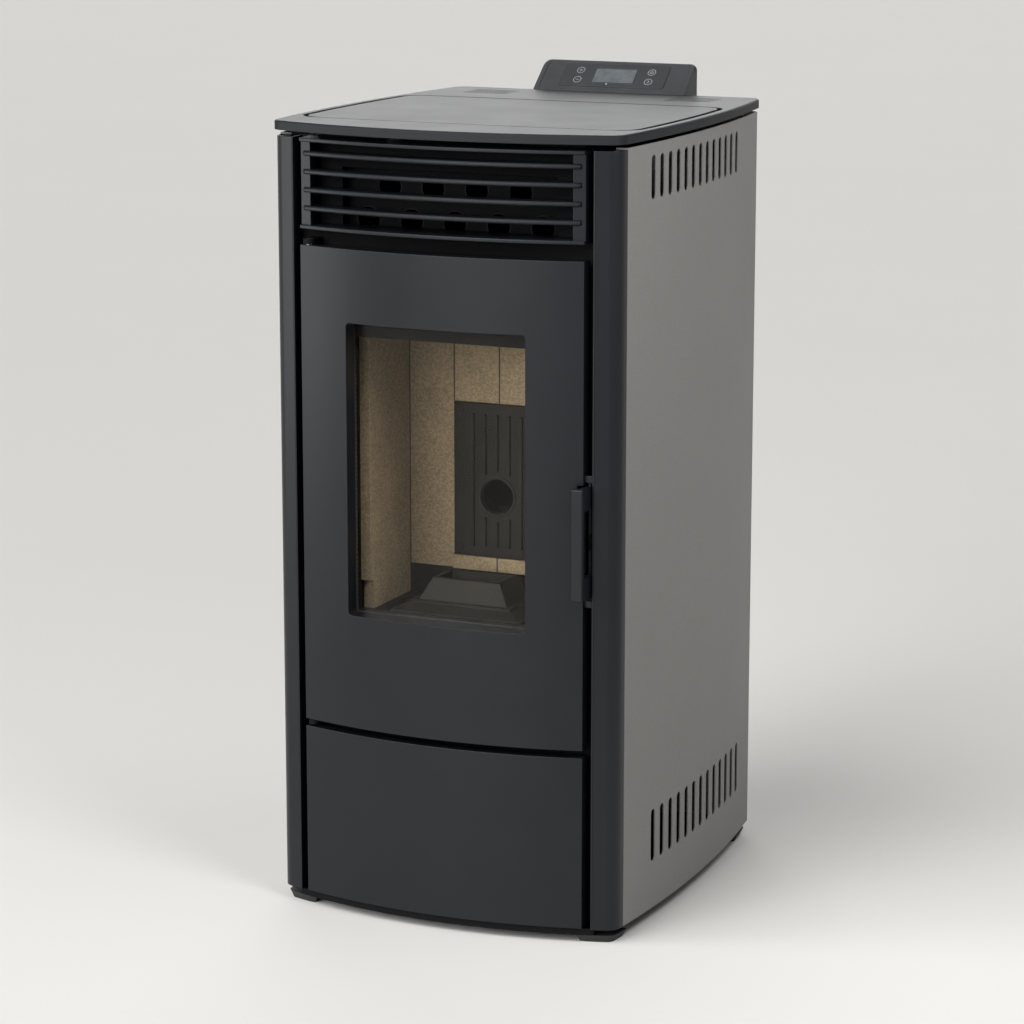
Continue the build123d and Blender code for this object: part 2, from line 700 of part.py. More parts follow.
# ---------------------------------------------------------------- fire door
EDGE_DEPTH = bow_depth(FRONT_HALF_WIDTH)
HINGE_AXIS_X = HINGE_INSET - FRONT_HALF_WIDTH
HANDLE_AXIS_X = FRONT_HALF_WIDTH + FRONT_GAP / 2
FLANGE_BACK = EDGE_DEPTH + DOOR_FLANGE
FLANGE_INNER_X = FRONT_HALF_WIDTH - FRONT_SHEET
GLASS_FRONT = REVEAL_BACK + TAPE_THICKNESS
GLASS_BACK = GLASS_FRONT + GLASS_THICKNESS
INNER_FRAME_FRONT = GLASS_BACK + TAPE_THICKNESS
INNER_FRAME_BACK = INNER_FRAME_FRONT + INNER_FRAME_SHEET
HANDLE_OUTER_X = HANDLE_AXIS_X + HANDLE_OVERHANG
HANDLE_TOP = HANDLE_BOTTOM + HANDLE_HEIGHT
POST_SPANS = (
    (HANDLE_BOTTOM, HANDLE_BOTTOM + HANDLE_POST_HEIGHT),
    (HANDLE_TOP - HANDLE_POST_HEIGHT, HANDLE_TOP),
)


def folded_front(low, high):
    """Bowed sheet front with edges folded back at the sides, the top and the bottom."""
    skin = raise_face(bow_face(FRONT_HALF_WIDTH, 0, FRONT_SHEET), low, high)
    for side in (-1, 1):
        middle = side * (FRONT_HALF_WIDTH - FRONT_SHEET / 2)
        skin += block(middle - FRONT_SHEET / 2, middle + FRONT_SHEET / 2,
                      EDGE_DEPTH, FLANGE_BACK, low, high)
    fold = bow_face(FRONT_HALF_WIDTH - FRONT_SHEET / 2, FRONT_SHEET / 2, DOOR_FLANGE)
    skin += raise_face(fold, low, low + FRONT_SHEET)
    skin += raise_face(fold, high - FRONT_SHEET, high)
    return skin


def door_panel():
    """Bowed door with the window's reveal welded in and notches for the handle's posts."""
    door = folded_front(DOOR_BOTTOM, DOOR_TOP)
    reveal = window_ring(WINDOW_HALF_WIDTH, WINDOW_BOTTOM, WINDOW_TOP, FRONT_SHEET,
                         0, REVEAL_BACK, WINDOW_CORNER)
    door += reveal & raise_face(bow_to_flat(FRONT_HALF_WIDTH, 0, REVEAL_BACK),
                                DOOR_BOTTOM, DOOR_TOP)
    middle = Plane(origin=(0, REVEAL_BACK, (WINDOW_BOTTOM + WINDOW_TOP) / 2),
                   x_dir=(1, 0, 0), z_dir=(0, -1, 0))
    opening = middle * RectangleRounded(2 * WINDOW_HALF_WIDTH, WINDOW_TOP - WINDOW_BOTTOM, WINDOW_CORNER)
    door -= extrude(opening, REVEAL_BACK)
    for low, high in POST_SPANS:
        door -= block(FRONT_HALF_WIDTH - HANDLE_NOTCH, FRONT_HALF_WIDTH, 0, FLANGE_BACK,
                      low - SHEET_PLAY, high + SHEET_PLAY)
    for low, high in hinge_pin_spans():
        door -= rod(HINGE_PIN_RADIUS, (HINGE_AXIS_X, HINGE_AXIS_DEPTH, low),
                    (HINGE_AXIS_X, HINGE_AXIS_DEPTH, high))
    return door + handle_lugs()


def hinge_pin_spans():
    """Lower and upper pin: from inside the door to the far side of the bracket's arm."""
    reach = HINGE_PLAY + HINGE_ENGAGEMENT
    return ((DOOR_BOTTOM - reach, DOOR_BOTTOM + 2 * FRONT_SHEET),
            (DOOR_TOP - 2 * FRONT_SHEET, DOOR_TOP + reach))


def door_hinge_pins():
    solids = []
    for low, high in hinge_pin_spans():
        solids.append(rod(HINGE_PIN_RADIUS, (HINGE_AXIS_X, HINGE_AXIS_DEPTH, low),
                          (HINGE_AXIS_X, HINGE_AXIS_DEPTH, high)))
    return Compound(children=solids)


def door_hinge_brackets():
    """Two arms on the bulkhead that carry the door's pins."""
    solids = []
    for low in (DOOR_BOTTOM - HINGE_PLAY - HINGE_ENGAGEMENT, DOOR_TOP + HINGE_PLAY):
        high = low + HINGE_ENGAGEMENT
        half = HINGE_ARM_WIDTH / 2
        arm = block(HINGE_AXIS_X - half, HINGE_AXIS_X + half, HINGE_AXIS_DEPTH, BULKHEAD_DEPTH,
                    low, high)
        arm += rod(half, (HINGE_AXIS_X, HINGE_AXIS_DEPTH, low), (HINGE_AXIS_X, HINGE_AXIS_DEPTH, high))
        arm -= rod(HINGE_PIN_RADIUS + HINGE_CLEARANCE, (HINGE_AXIS_X, HINGE_AXIS_DEPTH, low),
                   (HINGE_AXIS_X, HINGE_AXIS_DEPTH, high))
        solids.append(arm)
    return Compound(children=solids)


def door_inner_frame():
    """Flat plate behind the glass that clamps it and carries the rope seal."""
    plate = block(-FLANGE_INNER_X, FLANGE_INNER_X, INNER_FRAME_FRONT, INNER_FRAME_BACK,
                  DOOR_BOTTOM + FRONT_SHEET, DOOR_TOP - FRONT_SHEET)
    plate -= block(-WINDOW_HALF_WIDTH + INNER_FRAME_LAP, WINDOW_HALF_WIDTH - INNER_FRAME_LAP,
                   INNER_FRAME_FRONT, INNER_FRAME_BACK,
                   WINDOW_BOTTOM + INNER_FRAME_LAP, WINDOW_TOP - INNER_FRAME_DROP)
    for low, high in POST_SPANS:
        plate -= block(FRONT_HALF_WIDTH - HANDLE_NOTCH, FRONT_HALF_WIDTH, INNER_FRAME_FRONT,
                       INNER_FRAME_BACK, low - SHEET_PLAY, high + SHEET_PLAY)
    return plate


def door_glass():
    glass_x = WINDOW_HALF_WIDTH + GLASS_MARGIN
    return block(-glass_x, glass_x, GLASS_FRONT, GLASS_BACK,
                 WINDOW_BOTTOM - GLASS_MARGIN, WINDOW_TOP + GLASS_MARGIN)


def glass_tapes():
    """Flat seals in front of the glass and behind it."""
    band = GLASS_MARGIN - TAPE_MARGIN
    front = window_ring(WINDOW_HALF_WIDTH, WINDOW_BOTTOM, WINDOW_TOP, band,
                        REVEAL_BACK, GLASS_FRONT, WINDOW_CORNER)
    back = window_ring(WINDOW_HALF_WIDTH, WINDOW_BOTTOM, WINDOW_TOP, band,
                       GLASS_BACK, INNER_FRAME_FRONT, WINDOW_CORNER)
    return Compound(children=[front, back])


def door_rope_seal():
    """Rope ring that meets the bulkhead around the firebox opening."""
    ring = window_ring(SHELL_INNER_X + ROPE_MARGIN, FIREBOX_FLOOR - ROPE_MARGIN,
                       FIREBOX_TOP - FIREBOX_SHEET + ROPE_MARGIN, ROPE_WIDTH,
                       INNER_FRAME_BACK, BULKHEAD_DEPTH - BODY_GAP, WINDOW_CORNER)
    rear = ring.faces().sort_by(Axis.Y)[-1]
    return fillet(rear.edges(), ROPE_ROUNDING)


def handle_lugs():
    """Two lugs welded to the door's folded edge, with a bore for the handle's shaft."""
    lugs = None
    outer_x = COLUMN_INNER_X - SHEET_PLAY
    half = HANDLE_HUB_RADIUS + SHEET_PLAY
    for low in (HANDLE_BOTTOM - BEARING_GAP - BEARING_HEIGHT, HANDLE_TOP + BEARING_GAP):
        lug = block(FRONT_HALF_WIDTH, outer_x, HANDLE_AXIS_DEPTH - half, HANDLE_AXIS_DEPTH + half,
                    low, low + BEARING_HEIGHT)
        lug -= rod(HANDLE_SHAFT_RADIUS + HINGE_CLEARANCE, (HANDLE_AXIS_X, HANDLE_AXIS_DEPTH, low),
                   (HANDLE_AXIS_X, HANDLE_AXIS_DEPTH, low + BEARING_HEIGHT))
        lugs = lug if lugs is None else lugs + lug
    return lugs


parts["door_panel"] = door_panel()
parts["door_hinge_pins"] = door_hinge_pins()
parts["door_hinge_brackets"] = door_hinge_brackets()
parts["door_inner_frame"] = door_inner_frame()
parts["door_glass"] = door_glass()
parts["glass_tapes"] = glass_tapes()
parts["door_rope_seal"] = door_rope_seal()


# ---------------------------------------------------------------- door handle and latch
CAM_MIDDLE = (HANDLE_BOTTOM + HANDLE_TOP) / 2


def door_handle():
    """Upright grip bar on two posts that turn on a shaft beside the door's edge."""
    back = HANDLE_FRONT_DEPTH + HANDLE_THICKNESS
    grip = block(HANDLE_OUTER_X - HANDLE_WIDTH, HANDLE_OUTER_X, HANDLE_FRONT_DEPTH, back,
                 HANDLE_BOTTOM, HANDLE_TOP)
    front = grip.faces().sort_by(Axis.Y)[0]
    grip = chamfer(front.edges(), HANDLE_EDGE)
    post = make_face(Polyline(
        (HANDLE_OUTER_X - HANDLE_POST_WIDTH, back), (HANDLE_OUTER_X, back),
        (HANDLE_AXIS_X + HANDLE_HUB_RADIUS, HANDLE_AXIS_DEPTH),
        (HANDLE_AXIS_X - HANDLE_HUB_RADIUS, HANDLE_AXIS_DEPTH), close=True))
    for low, high in POST_SPANS:
        grip += raise_face(post, low, high)
        grip += rod(HANDLE_HUB_RADIUS, (HANDLE_AXIS_X, HANDLE_AXIS_DEPTH, low),
                    (HANDLE_AXIS_X, HANDLE_AXIS_DEPTH, high))
    end = BEARING_GAP + BEARING_HEIGHT
    grip += rod(HANDLE_SHAFT_RADIUS, (HANDLE_AXIS_X, HANDLE_AXIS_DEPTH, HANDLE_BOTTOM - end),
                (HANDLE_AXIS_X, HANDLE_AXIS_DEPTH, HANDLE_TOP + end))
    return grip


def latch_cam():
    """Finger on the handle's shaft that swings clear of the strike when the grip is pulled."""
    hub = Pos(HANDLE_AXIS_X, HANDLE_AXIS_DEPTH) * Circle(HANDLE_HUB_RADIUS)
    finger = Pos(HANDLE_AXIS_X, HANDLE_AXIS_DEPTH + CAM_REACH / 2) * Rectangle(
        2 * CAM_TIP_RADIUS, CAM_REACH)
    tip = Pos(HANDLE_AXIS_X, HANDLE_AXIS_DEPTH + CAM_REACH) * Circle(CAM_TIP_RADIUS)
    bore = Pos(HANDLE_AXIS_X, HANDLE_AXIS_DEPTH) * Circle(HANDLE_SHAFT_RADIUS)
    return raise_face(hub + finger + tip - bore, CAM_MIDDLE - CAM_HEIGHT / 2,
                      CAM_MIDDLE + CAM_HEIGHT / 2)


def latch_strike():
    """Sprung leaf on the bulkhead that the latch's finger passes."""
    lip = HANDLE_AXIS_X - CAM_TIP_RADIUS - LATCH_GAP
    low = CAM_MIDDLE - CAM_HEIGHT / 2
    high = CAM_MIDDLE + CAM_HEIGHT / 2
    leaf = block(lip - LEAF_THICKNESS, lip, FLANGE_BACK + LEAF_THICKNESS, BULKHEAD_DEPTH, low, high)
    leaf += block(lip - 4 * HANDLE_HUB_RADIUS, lip, BULKHEAD_DEPTH - LEAF_THICKNESS, BULKHEAD_DEPTH,
                  low - CAM_HEIGHT / 2, high + CAM_HEIGHT / 2)
    return leaf


parts["door_handle"] = door_handle()
parts["latch_cam"] = latch_cam()
parts["latch_strike"] = latch_strike()


# ---------------------------------------------------------------- ash drawer
SLIDE_LOW = PAN_BOTTOM + PAN_CORNER


def ash_drawer_front():
    """Lower bowed panel with a flat plate behind it and the two rails that carry the pan."""
    front = folded_front(DRAWER_BOTTOM, DRAWER_TOP)
    front += block(-FLANGE_INNER_X, FLANGE_INNER_X, FLANGE_BACK - FRONT_SHEET, FLANGE_BACK,
                   DRAWER_BOTTOM, DRAWER_TOP - DOOR_FLANGE)
    for side in (-1, 1):
        x0, x1 = sorted((side * PAN_HALF_WIDTH, side * (PAN_HALF_WIDTH + RUNNER_WIDTH / 2)))
        front += block(x0, x1, FLANGE_BACK, PAN_BACK_DEPTH - PAN_CORNER,
                       SLIDE_LOW, SLIDE_LOW + RUNNER_HEIGHT)
    return front


def ash_pan():
    """Open sheet box with rounded upright corners and a rolled rim."""
    depth = PAN_BACK_DEPTH - PAN_FRONT_DEPTH
    middle = (PAN_FRONT_DEPTH + PAN_BACK_DEPTH) / 2
    outer = Pos(0, middle) * RectangleRounded(2 * PAN_HALF_WIDTH, depth, PAN_CORNER)
    inner = Pos(0, middle) * RectangleRounded(
        2 * (PAN_HALF_WIDTH - PAN_SHEET), depth - 2 * PAN_SHEET, PAN_CORNER - PAN_SHEET)
    pan = raise_face(outer, PAN_BOTTOM, PAN_TOP)
    return pan - raise_face(inner, PAN_BOTTOM + PAN_SHEET, PAN_TOP)


def drawer_runners():
    """Channels on the base that the drawer's rails run in."""
    solids = []
    inner = PAN_HALF_WIDTH + RUNNER_CLEARANCE
    web = PAN_HALF_WIDTH + RUNNER_WIDTH / 2 + RUNNER_CLEARANCE
    low = SLIDE_LOW - RUNNER_CLEARANCE
    high = SLIDE_LOW + RUNNER_HEIGHT + RUNNER_CLEARANCE
    for side in (-1, 1):
        x0, x1 = sorted((side * inner, side * (web + RUNNER_SHEET)))
        channel = block(x0, x1, BULKHEAD_BACK, PAN_BACK_DEPTH, low - RUNNER_SHEET, high + RUNNER_SHEET)
        x0, x1 = sorted((side * inner, side * web))
        channel -= block(x0, x1, BULKHEAD_BACK, PAN_BACK_DEPTH, low, high)
        x0, x1 = sorted((side * web, side * (web + RUNNER_SHEET)))
        channel += block(x0, x1, BULKHEAD_BACK, PAN_BACK_DEPTH, FOOT_HEIGHT + FRAME_SHEET, low)
        solids.append(channel)
    return Compound(children=solids)


parts["ash_drawer_front"] = ash_drawer_front()
parts["ash_pan"] = ash_pan()
parts["drawer_runners"] = drawer_runners()


# ---------------------------------------------------------------- firebox
FIREBOX_BACK = BACK_FACE_DEPTH + LINER_THICKNESS
SHELL_BACK = FIREBOX_BACK + FIREBOX_SHEET
SHELL_BOTTOM = FIREBOX_FLOOR - FIREBOX_SHEET
POT_FLANGE_TOP = CARRIER_TOP + POT_FLANGE_THICKNESS
ASH_SLOT_X = CARRIER_HALF_X + ASH_SLOT_GAP + ASH_SLOT_WIDTH / 2
AIR_BOX_FRONT = POT_DEPTH - AIR_BOX_HALF_DEPTH
AIR_BOX_BACK = POT_DEPTH + AIR_BOX_HALF_DEPTH
ASH_DUCT_X = ASH_SLOT_X + ASH_SLOT_WIDTH / 2 + ASH_DUCT_MARGIN
ASH_DUCT_FRONT = AIR_BOX_FRONT - ASH_DUCT_FRONT_ROOM
ASH_DUCT_BACK = AIR_BOX_BACK + ASH_DUCT_BACK_ROOM


def firebox_shell():
    """Welded steel box, open to the front, with its ledge, the air box and the ash duct below."""
    shell = block(-SHELL_OUTER_X, SHELL_OUTER_X, BULKHEAD_BACK, SHELL_BACK, SHELL_BOTTOM, FIREBOX_TOP)
    shell -= block(-SHELL_INNER_X, SHELL_INNER_X, BULKHEAD_BACK, FIREBOX_BACK,
                   FIREBOX_FLOOR, FIREBOX_TOP - FIREBOX_SHEET)
    shell += block(-AIR_BOX_HALF_WIDTH, AIR_BOX_HALF_WIDTH, AIR_BOX_FRONT, AIR_BOX_BACK,
                   SHELL_BOTTOM - AIR_BOX_DROP, SHELL_BOTTOM)
    wall = PAN_SHEET
    shell -= block(-AIR_BOX_HALF_WIDTH + wall, AIR_BOX_HALF_WIDTH - wall,
                   AIR_BOX_FRONT + wall, AIR_BOX_BACK - wall,
                   SHELL_BOTTOM - AIR_BOX_DROP + wall, SHELL_BOTTOM)
    shell -= rod(AIR_HOLE_RADIUS, (0, POT_DEPTH, SHELL_BOTTOM), (0, POT_DEPTH, FIREBOX_FLOOR))
    shell -= rod(INTAKE_RADIUS - PIPE_SHOULDER, (INTAKE_X, AIR_BOX_BACK - wall, INTAKE_Z),
                 (INTAKE_X, AIR_BOX_BACK, INTAKE_Z))
    for side in (-1, 1):
        x = side * ASH_SLOT_X
        shell -= block(x - ASH_SLOT_WIDTH / 2, x + ASH_SLOT_WIDTH / 2,
                       POT_DEPTH - ASH_SLOT_LENGTH / 2, POT_DEPTH + ASH_SLOT_LENGTH / 2,
                       SHELL_BOTTOM, FIREBOX_FLOOR)
    shell -= rod(CHUTE_RADIUS, (0, FIREBOX_BACK, PELLET_HOLE_Z), (0, SHELL_BACK, PELLET_HOLE_Z))
    shell -= rod(IGNITER_RADIUS, (0, FIREBOX_BACK, IGNITER_Z), (0, SHELL_BACK, IGNITER_Z))
    port = SMOKE_BOX_FRONT + SMOKE_PORT_SETBACK
    shell -= block(-SMOKE_PORT_HALF_WIDTH, SMOKE_PORT_HALF_WIDTH, port, port + SMOKE_PORT_DEPTH,
                   FIREBOX_TOP - FIREBOX_SHEET, FIREBOX_TOP)
    return shell + back_ledge() + ash_duct()


def side_liner():
    """Fireproof side board, set back at the bottom where the sill starts."""
    board = block(LINER_FACE, SHELL_INNER_X, LINER_FRONT_DEPTH, FIREBOX_BACK, FIREBOX_FLOOR, LINER_TOP)
    board -= block(LINER_FACE, SHELL_INNER_X, LINER_FRONT_DEPTH, LINER_FRONT_DEPTH + LINER_NOTCH,
                   FIREBOX_FLOOR, LINER_BOTTOM)
    return board


def back_boards():
    """Four upright boards; the middle two step forward under the iron plate."""
    solids = []
    edges = (-LINER_FACE, -BACK_BOARD_WIDTH, 0, BACK_BOARD_WIDTH, LINER_FACE)
    for left, right in zip(edges[:-1], edges[1:]):
        x0 = left + BOARD_JOINT / 2
        x1 = right - BOARD_JOINT / 2
        board = block(x0, x1, BACK_FACE_DEPTH, FIREBOX_BACK, LINER_BOTTOM, LINER_TOP)
        if abs(left + right) / 2 < BACK_BOARD_WIDTH:
            board += block(x0, x1, BACK_FACE_DEPTH - IRON_THICKNESS, BACK_FACE_DEPTH,
                           LINER_BOTTOM, IRON_BOTTOM - BOARD_JOINT)
        board -= rod(CHUTE_RADIUS, (0, BACK_FACE_DEPTH, PELLET_HOLE_Z), (0, FIREBOX_BACK, PELLET_HOLE_Z))
        solids.append(board)
    return Compound(children=solids)


def back_ledge():
    """Folded steel angle that the back boards stand on."""
    ledge = block(-LINER_FACE, LINER_FACE, BACK_FACE_DEPTH, FIREBOX_BACK, FIREBOX_FLOOR, LINER_BOTTOM)
    ledge -= block(-LINER_FACE, LINER_FACE, BACK_FACE_DEPTH + FIREBOX_SHEET, FIREBOX_BACK,
                   FIREBOX_FLOOR, LINER_BOTTOM - FIREBOX_SHEET)
    ledge -= rod(IGNITER_RADIUS, (0, BACK_FACE_DEPTH, IGNITER_Z), (0, FIREBOX_BACK, IGNITER_Z))
    return ledge


def baffle():
    """Sloping board over the fire that sends the smoke round its front edge."""
    low = LINER_TOP - BAFFLE_THICKNESS - BAFFLE_RISE
    profile = make_face(Polyline(
        (BACK_FACE_DEPTH, low), (BACK_FACE_DEPTH, low + BAFFLE_THICKNESS),
        (BAFFLE_FRONT_DEPTH, low + BAFFLE_THICKNESS + BAFFLE_RISE),
        (BAFFLE_FRONT_DEPTH, low + BAFFLE_RISE), close=True))
    upright = Plane(origin=(-LINER_FACE, 0, 0), x_dir=(0, 1, 0), z_dir=(1, 0, 0))
    return extrude(upright * profile, 2 * LINER_FACE)


def iron_plate():
    """Cast plate round the pellet mouth, with raised upright ribs broken by the round rim."""
    plate = block(-IRON_HALF_WIDTH, IRON_HALF_WIDTH, BACK_FACE_DEPTH - IRON_THICKNESS, BACK_FACE_DEPTH,
                  IRON_BOTTOM, IRON_TOP)
    front = BACK_FACE_DEPTH - IRON_THICKNESS
    plate = chamfer(plate.faces().sort_by(Axis.Y)[0].edges(), PLATE_EDGE)
    margin = RIB_PITCH * 0.8
    for i in range(-2, 3):
        x = i * RIB_PITCH
        keep_out = PELLET_HOLE_RADIUS + 2 * RIB_WIDTH
        if abs(x) < keep_out:
            half = math.sqrt(keep_out ** 2 - x ** 2) + RIB_WIDTH
            spans = ((IRON_BOTTOM + margin, PELLET_HOLE_Z - half),
                     (PELLET_HOLE_Z + half, IRON_TOP - margin))
        else:
            spans = ((IRON_BOTTOM + margin, IRON_TOP - margin),)
        for low, high in spans:
            place = Plane(origin=(x, front, (low + high) / 2), x_dir=(0, 0, 1), z_dir=(0, -1, 0))
            plate += extrude(place * SlotOverall(high - low, RIB_WIDTH), RIB_DEPTH)
    mouth = (0, front - MOUTH_RIM, PELLET_HOLE_Z)
    plate += rod(PELLET_HOLE_RADIUS + RIB_WIDTH, mouth, (0, front, PELLET_HOLE_Z))
    return plate - rod(PELLET_HOLE_RADIUS, mouth, (0, BACK_FACE_DEPTH, PELLET_HOLE_Z))


def pot_carrier():
    """Stepped iron plinth under the burn pot, with the primary air hole."""
    front = CARRIER_FRONT_DEPTH
    back = CARRIER_BACK_DEPTH
    middle = (front + back) / 2
    step_z = FIREBOX_FLOOR + CARRIER_STEP
    plinth = block(-CARRIER_HALF_X, CARRIER_HALF_X, front, back, FIREBOX_FLOOR, step_z)
    base = Pos(0, middle, step_z) * Rectangle(
        2 * (CARRIER_HALF_X - CARRIER_TREAD), back - front - 2 * CARRIER_TREAD)
    top = Pos(0, POT_DEPTH, CARRIER_TOP) * Rectangle(
        2 * (POT_BASE_HALF_X + POT_FLANGE), 2 * (POT_BASE_HALF_Y + POT_FLANGE))
    plinth += loft([base, top])
    return plinth - rod(AIR_HOLE_RADIUS, (0, POT_DEPTH, FIREBOX_FLOOR), (0, POT_DEPTH, CARRIER_TOP))


def burn_pot():
    """Hollow tapered pot on a flange; its sunk top is slotted for the air."""
    flange_x = POT_BASE_HALF_X + POT_FLANGE
    flange_y = POT_BASE_HALF_Y + POT_FLANGE
    pot = block(-flange_x, flange_x, POT_DEPTH - flange_y, POT_DEPTH + flange_y,
                CARRIER_TOP, POT_FLANGE_TOP)
    base = Pos(0, POT_DEPTH, POT_FLANGE_TOP) * Rectangle(2 * POT_BASE_HALF_X, 2 * POT_BASE_HALF_Y)
    top = Pos(0, POT_DEPTH, POT_TOP) * Rectangle(2 * POT_TOP_HALF_X, 2 * POT_TOP_HALF_Y)
    pot += loft([base, top])
    bowl_x = POT_TOP_HALF_X - POT_WALL
    bowl_y = POT_TOP_HALF_Y - POT_WALL
    bowl_depth = (POT_TOP - POT_FLANGE_TOP) * POT_BOWL_SHARE
    pot -= block(-bowl_x, bowl_x, POT_DEPTH - bowl_y, POT_DEPTH + bowl_y, POT_TOP - bowl_depth, POT_TOP)
    low = Pos(0, POT_DEPTH, CARRIER_TOP) * Rectangle(
        2 * (POT_BASE_HALF_X - POT_WALL), 2 * (POT_BASE_HALF_Y - POT_WALL))
    high = Pos(0, POT_DEPTH, POT_TOP - bowl_depth - POT_WALL) * Rectangle(2 * bowl_x, 2 * bowl_y)
    pot -= loft([low, high])
    pitch = 2 * bowl_x / POT_SLOT_COUNT
    for i in range(POT_SLOT_COUNT):
        x = -bowl_x + (i + 0.5) * pitch
        pot -= block(x - POT_SLOT_WIDTH / 2, x + POT_SLOT_WIDTH / 2,
                     POT_DEPTH - bowl_y + POT_SLOT_MARGIN, POT_DEPTH + bowl_y - POT_SLOT_MARGIN,
                     CARRIER_TOP, POT_TOP)
    return pot


def igniter():
    """Round heating cartridge behind the pot."""
    start = POT_DEPTH + POT_BASE_HALF_Y
    return rod(IGNITER_RADIUS, (0, start, IGNITER_Z), (0, start + IGNITER_LENGTH, IGNITER_Z))


def ash_duct():
    """Square duct from the firebox floor down to just above the ash pan."""
    wall = CHUTE_DUCT_SHEET
    low = PAN_TOP + ASH_DUCT_GAP
    duct = block(-ASH_DUCT_X, ASH_DUCT_X, ASH_DUCT_FRONT, ASH_DUCT_BACK, low, SHELL_BOTTOM)
    duct -= block(-ASH_DUCT_X + wall, ASH_DUCT_X - wall, ASH_DUCT_FRONT + wall, ASH_DUCT_BACK - wall,
                  low, SHELL_BOTTOM)
    return duct - rod(INTAKE_RADIUS - PIPE_SHOULDER, (INTAKE_X, AIR_BOX_BACK, INTAKE_Z),
                      (INTAKE_X, ASH_DUCT_BACK, INTAKE_Z))


parts["firebox_shell"] = firebox_shell()
mirrored("left_liner", "right_liner", side_liner())
parts["back_liner_boards"] = back_boards()
parts["baffle"] = baffle()
parts["cast_back_plate"] = iron_plate()
parts["pot_carrier"] = pot_carrier()
parts["burn_pot"] = burn_pot()
parts["igniter"] = igniter()


# ---------------------------------------------------------------- heat exchanger and smoke path
SMOKE_INLET_RADIUS = IMPELLER_RADIUS / 2
FAN_DEPTH = REAR_INNER - FAN_REAR_ROOM - FAN_CASE_RADIUS


def tube_places():
    places = []
    for i in range(TUBES_LOWER_ROW):
        places.append(((i - (TUBES_LOWER_ROW - 1) / 2) * TUBE_PITCH, LOWER_TUBE_Z))
    for i in range(TUBES_LOWER_ROW - 1):
        places.append(((i - (TUBES_LOWER_ROW - 2) / 2) * TUBE_PITCH, UPPER_TUBE_Z))
    return places


def smoke_box():
    """Welded box over the firebox that the warm air tubes run through."""
    half = SMOKE_BOX_HALF_WIDTH
    sheet = SMOKE_BOX_SHEET
    box = block(-half, half, SMOKE_BOX_FRONT, SMOKE_BOX_BACK, FIREBOX_TOP, SMOKE_BOX_TOP)
    box -= block(-half + sheet, half - sheet, SMOKE_BOX_FRONT + sheet, SMOKE_BOX_BACK - sheet,
                 FIREBOX_TOP, SMOKE_BOX_TOP - sheet)
    for x, z in tube_places():
        box -= rod(TUBE_RADIUS, (x, SMOKE_BOX_FRONT, z), (x, SMOKE_BOX_BACK, z))
    half = SMOKE_DUCT_WIDTH / 2 - SMOKE_DUCT_SHEET
    box -= block(SMOKE_DUCT_X - half, SMOKE_DUCT_X + half, SMOKE_BOX_BACK - sheet, SMOKE_BOX_BACK,
                 FIREBOX_TOP + SMOKE_DUCT_SHEET, LOWER_TUBE_Z - TUBE_RADIUS - SMOKE_DUCT_SHEET)
    return box


def exchanger_tubes():
    return Compound(children=[
        tube(TUBE_RADIUS, TUBE_WALL, (x, SMOKE_BOX_FRONT, z), (x, SMOKE_BOX_BACK, z))
        for x, z in tube_places()])


def smoke_duct():
    """Flat duct from the smoke box down behind the firebox to the exhaust fan's inlet."""
    wall = SMOKE_DUCT_SHEET
    x0 = SMOKE_DUCT_X - SMOKE_DUCT_WIDTH / 2
    x1 = SMOKE_DUCT_X + SMOKE_DUCT_WIDTH / 2
    front = SHELL_BACK + SMOKE_DUCT_GAP
    back = front + SMOKE_DUCT_DEPTH
    top = LOWER_TUBE_Z - TUBE_RADIUS
    leg_z = SMOKE_LEG_TOP - SMOKE_LEG_HEIGHT
    leg_front = FAN_DEPTH - SMOKE_INLET_RADIUS - 2 * wall
    leg_back = FAN_DEPTH + SMOKE_INLET_RADIUS + 2 * wall
    low = FAN_Z - SMOKE_INLET_RADIUS - 2 * wall
    legs = [
        (x0, x1, SMOKE_BOX_BACK, back, FIREBOX_TOP, top),
        (x0, x1, front, back, leg_z, top),
        (x0, x1, front, leg_back, leg_z, SMOKE_LEG_TOP),
        (x0, x1, leg_front, leg_back, low, SMOKE_LEG_TOP),
    ]
    duct = None
    for leg in legs:
        duct = block(*leg) if duct is None else duct + block(*leg)
    for a, b, c, d, e, f in legs:
        start = c if c == SMOKE_BOX_BACK else c + wall
        duct -= block(a + wall, b - wall, start, d - wall, e + wall, f - wall)
    inlet = (x1, FAN_DEPTH, FAN_Z)
    fan_side = (-FAN_CASE_WIDTH / 2, FAN_DEPTH, FAN_Z)
    duct += rod(SMOKE_INLET_RADIUS + wall, inlet, fan_side)
    duct -= rod(SMOKE_INLET_RADIUS, (x1 - wall, FAN_DEPTH, FAN_Z), fan_side)
    return duct


parts["smoke_box"] = smoke_box()
parts["exchanger_tubes"] = exchanger_tubes()
parts["smoke_duct"] = smoke_duct()


